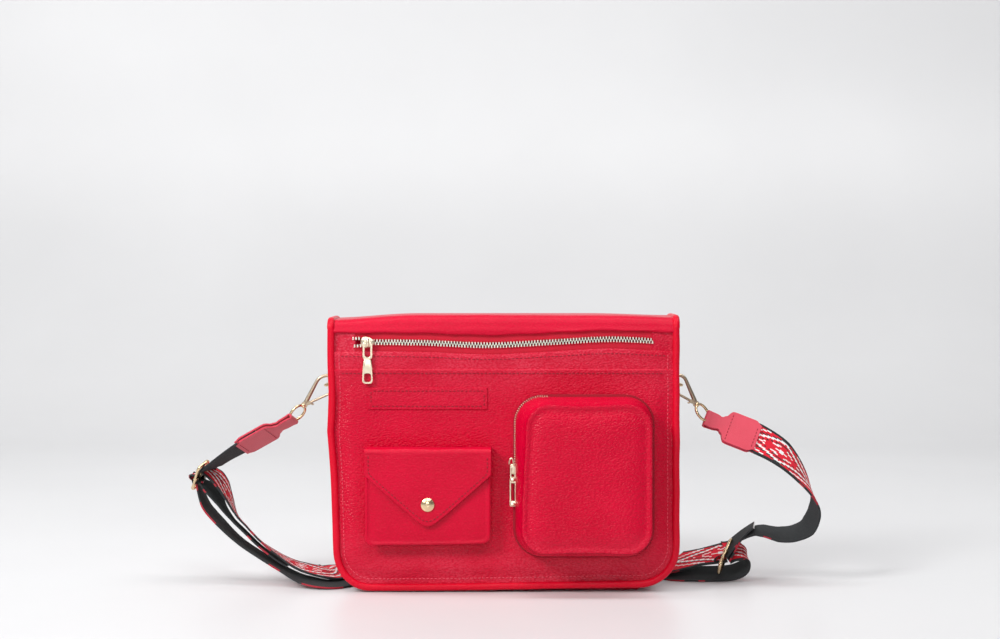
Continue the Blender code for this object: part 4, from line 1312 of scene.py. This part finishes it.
def lid_edge(x, inset=0.0):
    """Height of the lid's V-shaped edge."""
    middle = (LID_LOW[0] + LID_HIGH[0]) / 2
    half = (LID_HIGH[0] - LID_LOW[0]) / 2
    share = hypot(abs(x - middle) / half, 0.10) - 0.10
    slope = (LID_SHOULDER - LID_LOW[2]) / 0.9
    return LID_LOW[2] + slope * share + inset * 1.25


def lid_face(x, z):
    return LID_LOW[1] - 0.0006 * lump(x, z, 30, 2.2) + 0.0007 - 0.0010 * ease(0.135, 0.125, z)


def make_envelope_lid(looks):
    """Lid in one piece with its top, sewn along its edge, and the cap of its snap."""
    left, right = LID_LOW[0] - LID_PROUD, LID_HIGH[0] + LID_PROUD
    top = COVER_HIGH[2]
    grid = []
    columns = spread(left, right, 56)
    for y in spread(FLAP_FACE - 0.0006, LID_LOW[1] + LID_BEND, 6):
        grid.append([Vector((x, y, top + 0.0005 * lump(x, y, 40, 3.0))) for x in columns])
    for t in spread(90, 180, 7)[1:]:
        y, z = compass(t)
        y = LID_LOW[1] + 0.0038 + LID_BEND * y
        z = top - LID_BEND + LID_BEND * z
        grid.append([Vector((x, y, z + 0.0005 * lump(x, 0.0, 40, 3.0))) for x in columns])
    for k in spread(0.0, 1.0, 30)[1:]:
        line = []
        for x in columns:
            z = (top - LID_BEND) * (1 - k) + lid_edge(x) * k
            line.append(Vector((x, lid_face(x, z), z)))
        grid.append(line)
    sheet(
        "envelope_lid_leather", grid, 0.0015, looks["soft_leather"], "envelope_lid",
        "envelope_cover", "envelope_flap",
    )
    inset = 0.0032
    line = [
        Vector((left + inset, 0, z))
        for z in spread(top - 0.006, lid_edge(left + inset, inset), 12)
    ]
    line += [
        Vector((x, 0, lid_edge(x, inset)))
        for x in spread(left + inset, right - inset, 60)[1:-1]
    ]
    line += [
        Vector((right - inset, 0, z))
        for z in spread(lid_edge(right - inset, inset), top - 0.006, 12)
    ]
    line = [Vector((p.x, lid_face(p.x, p.z) - 0.0001, p.z)) for p in line]
    stitching("envelope_lid_thread", [line], (0, -1, 0), looks["dark_thread"], "envelope_lid")
    low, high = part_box("snap_cap")
    middle = (low + high) / 2
    radius = (high[0] - low[0]) / 2
    face = lid_face(middle.x, middle.z)
    profile = [
        (0.98, 0.0000), (1.0, -0.0006), (0.97, -0.0011), (0.90, -0.0013), (0.80, -0.0016),
        (0.62, -0.0022), (0.40, -0.0026), (0.18, -0.0028), (0.02, -0.0028),
    ]
    turns = full_turn(40)
    rings = [
        [
            Vector((middle.x + radius * r * cos(t), face + d, middle.z + radius * r * sin(t)))
            for t in turns
        ]
        for r, d in profile
    ]
    loft("snap_cap_dome", rings, looks["gold"], "envelope_lid", "snap_cap")


BOX_CORNER = 0.024
BOX_TEETH_FOOT = 0.102
BOX_TEETH_END = 0.040


def make_box_pocket(looks):
    """Deep pocket: zip round its base, soft wall, rolled seam round a puffed front."""
    left, foot, right, top = BOX_LOW[0], BOX_LOW[2], BOX_HIGH[0], BOX_HIGH[2]
    base, front = BOX_HIGH[1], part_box("box_front")[0][1]
    wall = front + 0.0035
    steps = (
        (0.0006, base, 0.0), (-0.0004, base - 0.002, 0.0), (0.0000, base - 0.008, 0.3),
        (0.0012, base - 0.016, 0.6), (0.0030, base - 0.024, 0.4), (0.0047, wall + 0.0012, 0.1),
        (0.0045, wall - 0.0010, 0.0), (0.0051, wall - 0.0027, 0.0), (0.0069, wall - 0.0032, 0.0),
        (0.0084, wall - 0.0024, 0.0), (0.0099, wall - 0.0021, 0.0), (0.0125, wall - 0.0031, 0.1),
        (0.0170, wall - 0.0043, 0.3), (0.0220, wall - 0.0050, 0.6), (0.0300, wall - 0.0054, 1.0),
        (0.0400, wall - 0.0055, 1.0), (0.0500, wall - 0.0055, 1.0), (0.0580, wall - 0.0055, 1.0),
    )
    rings = []
    for inset, depth, soft in steps:
        corner = max(BOX_CORNER - inset * 0.6, 0.004)
        ring = []
        forward = ease(base - 0.012, wall, depth)
        for x, z in panel_outline(
            left + inset, foot + inset, right - inset, top - inset, corner, 16, 9
        ):
            dip = 0.0016 * bell(x - 0.068, 0.026)
            z += forward * (-dip * ease(0.10, 0.17, z) + dip * 0.9 * ease(0.10, 0.035, z))
            x += forward * (0.0022 + 0.0040 * ease(0.075, 0.012, x) * (ease(0.05, 0.17, z) - 0.4))
            z += forward * 0.0008
            swell = soft * (0.0010 * lump(x, z, 22, 6.0) + 0.0006 * lump(x, z, 48, 8.0))
            ring.append(Vector((x, depth - swell, z)))
        rings.append(ring)
    loft("box_pocket_leather", rings, looks["leather"], "box_lid", "box_band", "box_front")
    # The tape ring is darkened: painted shade for the gap between the pocket's base and its wall.
    tape = []
    for inset, depth in (
        (-0.0022, FLAP_FACE + 0.0010), (-0.0022, base + 0.0006), (-0.0006, base + 0.0001),
        (0.0030, base + 0.0001), (0.0030, FLAP_FACE + 0.0010),
    ):
        outline = panel_outline(
            left + inset, foot + inset, right - inset, top - inset, BOX_CORNER - inset, 16, 9
        )
        tape.append([Vector((x, depth, z)) for x, z in outline])
    loft("box_zip_tape_ring", tape, looks["box_tape_painted_shade"], "flap_front", "box_zip_tape", closed=True)
    made = bmesh.new()
    outline = panel_outline(left - 0.0008, foot, right + 0.0008, top + 0.0008, BOX_CORNER, 30, 14)
    path = [
        Vector((x, base + 0.0008, z))
        for x, z in outline if z > BOX_TEETH_FOOT and x < BOX_TEETH_END
    ]
    for point in evenly(path, 0.0021):
        add_block(made, point, (0.0011, 0.0022, 0.0011))
    put("box_zip_teeth", made, looks["pale_gold"], "flap_front")
    make_box_zip_slider(looks)


def make_box_zip_slider(looks):
    """Small slider on the left of the box pocket, its wire bow above and its pull hanging below."""
    low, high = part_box("box_zip_slider")
    middle = (low + high) / 2
    made = bmesh.new()
    rings = []
    for depth, share in (
        (high[1] - 0.0006, 0.9), (high[1] - 0.0012, 1.0), (low[1] + 0.0008, 1.0), (low[1], 0.7)
    ):
        outline = oval((high[0] - low[0]) * 1.25 * share, (high[2] - low[2]) * share, 0.002)
        rings.append([Vector((middle.x + p.x, depth, middle.z + p.y)) for p in outline])
    add_loft(made, rings)
    bow = [Vector((middle.x - 0.0014 + 0.0020 * cos(t), low[1] - 0.0002, high[2] + 0.0055 * sin(t)))
           for t in spread(0, pi, 11)]
    add_loft(made, tube_rings(bow, 0.0007, 8))
    put("box_zip_slider_casting", made, looks["pale_gold"], "box_slider", "box_zip_slider")
    low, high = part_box("box_zip_pull")
    middle = (low + high) / 2
    made = bmesh.new()
    half = (high[0] - low[0]) / 2 + 0.0007
    link_foot = high[2] - 0.014
    for top, foot, wide, hole in (
        (high[2] - 0.001, link_foot, half * 0.85, 0.6), (link_foot + 0.002, low[2], half, 0.62)
    ):
        centre = Vector((middle.x, middle.y, (top + foot) / 2))
        outer = [centre + Vector((p.x, 0, p.y)) for p in oval(2 * wide, top - foot, 0.0016)]
        inner = [
            centre + Vector((p.x, 0, p.y))
            for p in oval(2 * wide * hole - 0.0004, (top - foot) * hole, 0.0008)
        ]
        add_frame(made, outer, inner, Vector((0, 1, 0)), 0.0017)
    for z, radius in ((link_foot, 0.0021), (low[2] + 0.002, 0.0019)):
        turns = spread(0, pi, 9)
        bead = [Vector((middle.x - half * 0.9 * cos(t), middle.y, z)) for t in turns]
        add_loft(made, tube_rings(bead, [max(radius * sin(t), BEAD_TIP) for t in turns], 10))
    put("box_zip_pull_links", made, looks["pale_gold"], "box_pull", "box_zip_pull")


def make_pouch(looks):
    """Front panel, soft gusset and cloth lining of the pouch behind the flap."""
    grid = []
    face = FRONT_LOW[1]
    for k in spread(0.0, 1.0, 40):
        z = closing(FRONT_HIGH[2], 0.0013, k)
        half = half_width(z, HALF_POUCH, 0.0, CORNER)
        grid.append(
            [Vector((x, face - 0.0004 * lump(x, z, 14, 11.0), z)) for x in spread(-half, half, 44)]
        )
    sheet("pouch_front_leather", grid, LEATHER, looks["leather"], "root", "front_panel")
    low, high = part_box("gusset")
    grid = []
    for y in spread(low[1] - 0.0004, high[1] + 0.0010, 16):
        share = sin(pi * (y - low[1]) / (high[1] - low[1]))
        line = []
        for place, out in u_path(HALF_POUCH, 0.0, FRONT_HIGH[2], CORNER, 26):
            inward = 0.0035 * share * abs(out.x) * ease(0.02, 0.08, place.z)
            away = 1.0 - ease(0.030, 0.016, abs(place.z - 0.165))
            line.append(place - out * (inward * away + 0.0002) + Vector((0, y, 0)))
        grid.append(line)
    sheet("gusset_leather", grid, LEATHER, looks["leather"], "root", "gusset")
    make_lining(looks)


def make_lining(looks):
    """Cloth bag inside the pouch, and cloth behind the flap."""
    low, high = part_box("lining")
    inset = HALF_POUCH - high[0]
    made = bmesh.new()
    for depth, order in ((low[1] + 0.0002, -1), (high[1] - 0.0002, 1)):
        grid = []
        for k in spread(0.0, 1.0, 24):
            z = closing(high[2], low[2], k)
            half = half_width(z, high[0], low[2], CORNER - inset)
            xs = spread(-half, half, 30)[::order]
            depths = [depth - order * (0.0005 + 0.0005 * lump(x, z, 30, 12.0)) for x in xs]
            grid.append([Vector((x, y, z)) for x, y in zip(xs, depths)])
        add_sheet(made, grid, 0.0006)
    grid = []
    for y in spread(high[1] - 0.0004, low[1] + 0.0004, 10):
        share = sin(pi * (y - low[1]) / (high[1] - low[1]))
        line = []
        for place, out in u_path(high[0], low[2], high[2], CORNER - inset, 22):
            inward = out * 0.0046 * share * abs(out.x) * ease(0.02, 0.08, place.z)
            line.append(place - inward + Vector((0, y, 0)))
        grid.append(line)
    add_sheet(made, grid, -0.0006)
    put("lining_cloth_bag", made, looks["lining"], "root", "lining")
    low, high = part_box("flap_lining")
    grid = []
    for k in spread(0.0, 1.0, 30):
        z = closing(high[2], low[2], k)
        half = half_width(z, high[0], low[2], CORNER - 0.008)
        grid.append(
            [
                Vector((lean(x, z)[0], high[1] - 0.0003 * lump(x, z, 30, 14.0), z))
                for x in spread(half, -half, 40)
            ]
        )
    sheet("flap_lining_cloth", grid, 0.0009, looks["lining"], "flap_front", "zip_pocket_back")


TAB_BAR = Vector((0.1532, 0.0, 0.1878))
TAB_TURN = 0.0030
TAB_SEAM = 0.0030
RING_WIRE = 0.0014
RING_REACH = 0.0122
RING_DROOP = 0.0028
HOOK_WIRE = 0.0016
GATE_WIRE = 0.0012
GATE_PIVOT = 0.0048


def make_side_tab(side, sign, looks):
    """Leather tab sewn up the gusset, its top turned over the D-ring's bar."""
    low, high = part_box(f"side_tab_{side}")
    back = HALF_POUCH + 0.0002
    bar = TAB_BAR
    line = [(back + 0.0012, low[2]), (back + 0.0012, bar.z - 0.006)]
    line += [
        (bar.x + TAB_TURN * x, bar.z + TAB_TURN * z)
        for x, z in map(compass, spread(180, -30, 12))
    ]
    line += [
        (back + 0.0040, bar.z - 0.009), (back + 0.0034, low[2] + 0.014), (back + 0.0034, low[2])
    ]
    half = (high[1] - low[1]) / 2
    path = rounded_line([Vector((x, 0, z)) for x, z in line], 0.003, 3)
    rings = []
    for i, place in enumerate(path):
        along = (path[min(i + 1, len(path) - 1)] - path[max(i - 1, 0)]).normalized()
        out = along.cross(Vector((0, 1, 0)))
        section = [
            (-half, -0.0006), (-half + 0.0006, -0.0010), (half - 0.0006, -0.0010), (half, -0.0006),
            (half, 0.0006), (half - 0.0006, 0.0010), (-half + 0.0006, 0.0010), (-half, 0.0006),
        ]
        ring = [place + Vector((0, a, 0)) + out * h for a, h in section]
        rings.append([Vector((sign * p.x, p.y, p.z)) for p in ring])
    loft(f"side_tab_leather_{side}", rings, looks["leather"], "root", f"side_tab_{side}")
    face = sign * (back + 0.0046)
    edge = half - TAB_SEAM
    foot, top = low[2] + TAB_SEAM, bar.z - 0.013
    lines = [[Vector((face, y, z)) for z in spread(foot, top, 6)] for y in (-edge, edge)]
    lines += [[Vector((face, y, z)) for y in spread(-edge, edge, 4)] for z in (foot, top)]
    stitching(f"side_tab_thread_{side}", lines, (sign, 0, 0), looks["thread"], "root")


def make_dring(side, sign, looks):
    """Wire ring with a straight bar inside the tab's turned top."""
    low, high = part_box(f"dring_{side}")
    half = (high[1] - low[1]) / 2 - 0.0013
    down = Vector((sign * RING_REACH, 0, -RING_DROOP)).normalized()
    start = Vector((sign * TAB_BAR.x, 0, TAB_BAR.z))
    bow = RING_REACH - half
    corners = [start + Vector((0, y, 0)) for y in (-half, half)]
    arch = [
        start + down * (bow + half * cos(t)) + Vector((0, half * sin(t), 0))
        for t in spread(1.5, -1.5, 17)
    ]
    line = rounded_line(corners + arch, 0.002, 3, closed=True)
    rings = tube_rings(line, RING_WIRE, 12, closed=True)
    loft(f"dring_wire_{side}", rings, looks["gold"], f"dring_{side}", f"dring_{side}", closed=True)


def make_hook(side, sign, looks):
    """Trigger hook bent round the D-ring, with a hub, and its sprung gate with a thumb lever."""
    base, corner, nose, heel = (Vector((sign * x, 0, z)) for x, z in HOOKS[side])
    tip = nose.lerp(heel, 0.80)
    made = bmesh.new()
    line = rounded_line([base, corner, nose, tip], 0.0045, 8)
    radii = []
    for place in line:
        swell = 0.0006 * ease(0.010, 0.0, (place - base).length)
        radii.append(HOOK_WIRE + swell - 0.0004 * ease(0.008, 0.0, (place - tip).length))
    add_loft(made, tube_rings(line, radii, 12))
    along = (heel - base).normalized()
    for place, radius, half in (
        (base, 0.0030, 0.0019), (base + along * GATE_PIVOT, 0.0019, 0.0017)
    ):
        add_loft(
            made,
            tube_rings([place + Vector((0, y, 0)) for y in spread(-half, half, 3)], radius, 18),
        )
    add_loft(made, tube_rings([base + along * s for s in (0.0, 0.002, 0.004)], 0.0014, 12))
    put(f"hook_casting_{side}", made, looks["hook_metal"], f"hook_{side}", f"hook_{side}")
    line = [base + along * s for s in spread(GATE_PIVOT, (heel - base).length - 0.0010, 12)]
    made = bmesh.new()
    add_loft(made, tube_rings(line, GATE_WIRE, 12))
    thumb = line[1]
    lever = [
        thumb,
        thumb + along * 0.001 - Vector((0, 0, 0.0022)),
        thumb + along * 0.003 - Vector((0, 0, 0.0034)),
    ]
    add_loft(made, tube_rings(lever, [0.0010, 0.0010, 0.0007], 10))
    put(f"gate_bar_{side}", made, looks["hook_metal"], f"gate_{side}", f"gate_{side}")


def make_flap_thread(looks):
    """Seams of the flap: inside the binding, along the lap seam and above it, and below the zip."""
    edge = STITCH_INSET
    lines = [[]]
    path = u_path(SEAM_HALF - edge, SEAM_FOOT + edge, LAP_SEAM, SEAM_CORNER - edge, 40)
    for place, _ in path:
        lines[0].append(on_flap(place.x, place.z, 0.0001))
    for sign in (-1, 1):
        x = sign * (SEAM_HALF - edge)
        lines.append(
            [on_flap(x, z, 0.0003) for z in spread(LAP_SEAM + 0.001, WINDOW_FOOT - 0.002, 8)]
        )
    stitching("flap_thread", lines, (0, -1, 0), looks["thread"], "flap_front")
    columns = spread(-HALF_PANEL + 0.004, HALF_PANEL - 0.004, 120)
    lines = [[on_flap(x, LAP_SEAM - 0.0022, 0.0009) for x in columns]]
    lines.append(
        [on_flap(x, WINDOW_FOOT - 0.0046, 0.0005) + Vector((0, 0, zip_sway(x))) for x in columns]
    )
    stitching("lap_thread", lines, (0, -1, 0), looks["dark_thread"], "flap_front")
    line = []
    for place, _ in u_path(HALF_POUCH - 0.0095, 0.0095, 0.222, CORNER - 0.0095, 36):
        line.append(Vector((place.x, back_face(place.x, place.z) + 0.0002, place.z)))
    stitching("back_thread", [line], (0, 1, 0), looks["thread"], "root")


def soft_light(name, place, target, size, power):
    data = bpy.data.lights.new(name, "AREA")
    data.shape = "RECTANGLE"
    data.size, data.size_y = size
    data.energy = power
    lamp = bpy.data.objects.new(name, data)
    lamp.location = place
    lamp.rotation_euler = (Vector(target) - Vector(place)).to_track_quat("-Z", "Y").to_euler()
    bpy.context.scene.collection.objects.link(lamp)


def make_studio():
    """Pale table that sweeps up into a pale wall, and soft lights."""
    made = bmesh.new()
    sweep = [(-4.0, 0.0), (1.2, 0.0)]
    sweep += [
        (1.2 + 0.8 * sin(t), 0.8 - 0.8 * cos(t))
        for t in spread(0.0, pi / 2, 12)[1:]
    ] + [(2.0, 4.0)]
    rows = [[made.verts.new((x, y, z)) for x in (-5.0, 5.0)] for y, z in sweep]
    for near, far in zip(rows, rows[1:]):
        made.faces.new((near[0], near[1], far[1], far[0]))
    mesh = bpy.data.meshes.new("floor")
    made.to_mesh(mesh)
    made.free()
    mesh.shade_smooth()
    recipe = Recipe("pale_table")
    veins = recipe.speckle(recipe.place(), 3.0, 5.0)
    pale = recipe.mix(veins, (0.61, 0.61, 0.615), (0.67, 0.67, 0.675))
    mesh.materials.append(recipe.done(Base_Color=pale, Roughness=0.40))
    floor = bpy.data.objects.new("floor", mesh)
    bpy.context.scene.collection.objects.link(floor)
    world = bpy.data.worlds.new("studio")
    bpy.context.scene.world = world
    world.use_nodes = True
    world.node_tree.nodes["Background"].inputs["Color"].default_value = (0.95, 0.96, 1.0, 1.0)
    world.node_tree.nodes["Background"].inputs["Strength"].default_value = 0.20
    soft_light("key_light", (-1.6, -1.5, 1.6), (0.0, 0.0, 0.12), (0.7, 0.7), 46.0)
    soft_light("front_light", (0.3, -1.9, 2.2), (0.0, 0.0, 0.14), (1.6, 0.8), 22.0)
    soft_light("window_light", (-0.2, -2.2, 0.66), (0.0, 0.0, 0.2), (0.6, 0.3), 7.0)
    soft_light("wall_light", (0.0, -0.2, 2.6), (0.0, 2.0, 0.5), (4.4, 0.8), 72.0)


def make_looks():
    red, deep = (0.68, 0.0, 0.036), (0.48, 0.0, 0.020)
    return {
        "soft_leather": pebbled_leather("soft_red_leather", deep, red, 0.26, 0.22),
        # The last value sets the strength of the painted sheen near the fold and hem.
        "leather": pebbled_leather("red_pebbled_leather", deep, red, 0.20, 0.62, 0.42),
        "binding": pebbled_leather(
            "red_binding_leather", (0.56, 0.001, 0.016), (0.74, 0.003, 0.032), 0.24, 0.28
        ),
        "strap_leather": smooth_leather(
            "red_strap_leather", (0.52, 0.020, 0.048), (0.62, 0.032, 0.072)
        ),
        "thread": thread("red_thread", (0.60, 0.016, 0.050), (0.88, 0.14, 0.20)),
        "dark_thread": thread("dark_red_thread", (0.19, 0.0, 0.010), (0.34, 0.002, 0.020)),
        "gold": plated_metal("gold_plate", (0.86, 0.66, 0.40), 0.18),
        "hook_metal": plated_metal("worn_gold_plate", (0.58, 0.46, 0.33), 0.24),
        "tooth_metal": plated_metal("zip_tooth_metal", (0.95, 0.91, 0.80), 0.34),
        "pale_gold": plated_metal("pale_gold_plate", (0.96, 0.85, 0.64), 0.26),
        "steel": plated_metal("steel_plate", (0.60, 0.60, 0.60), 0.30),
        # Dark tape for the box pocket: painted shade in the gap round the pocket's base.
        "box_tape_painted_shade": woven_cloth("dark_zip_tape", (0.24, 0.0, 0.010), (0.36, 0.002, 0.016), 0.0012),
        "zip_tape": woven_cloth("red_zip_tape", (0.46, 0.003, 0.018), (0.62, 0.006, 0.032), 0.0012),
        "lining": woven_cloth(
            "dark_lining_cloth", (0.020, 0.018, 0.020), (0.055, 0.048, 0.052), 0.0010
        ),
        "board": plain_board("grey_board", (0.30, 0.27, 0.24)),
        "woven_face": patterned_weave(
            "patterned_webbing", (0.76, 0.004, 0.026), (0.92, 0.90, 0.89), (0.012, 0.016, 0.018)
        ),
        "woven_back": plain_weave("black_webbing", (0.010, 0.012, 0.013), (0.045, 0.050, 0.052)),
        "selvedge": bound_edge("webbing_edge", (0.60, 0.010, 0.035), (0.014, 0.016, 0.018)),
    }


def make_bag():
    looks = make_looks()
    make_strap(looks)
    make_back(looks)
    make_roll_front(looks)
    make_flap_panel(looks)
    make_bindings(looks)
    make_main_zip(looks)
    make_zip_slider(looks)
    make_patch(looks)
    make_envelope_pocket(looks)
    make_box_pocket(looks)
    make_pouch(looks)
    for side, sign in SIDES:
        make_side_tab(side, sign, looks)
        make_dring(side, sign, looks)
        make_hook(side, sign, looks)
    make_flap_thread(looks)
    kept = {"snap_stud": "steel", "snap_socket": "steel", "base_board": "board"}
    for side, _ in SIDES:
        kept[f"magnet_socket_{side}"] = "steel"
        kept[f"flap_magnet_{side}"] = "steel"
    for node, look in kept.items():
        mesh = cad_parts[node].data
        mesh.materials.clear()
        mesh.materials.append(looks[look])


make_camera()
bpy.context.scene.view_settings.view_transform = "Standard"
make_bag()
make_studio()
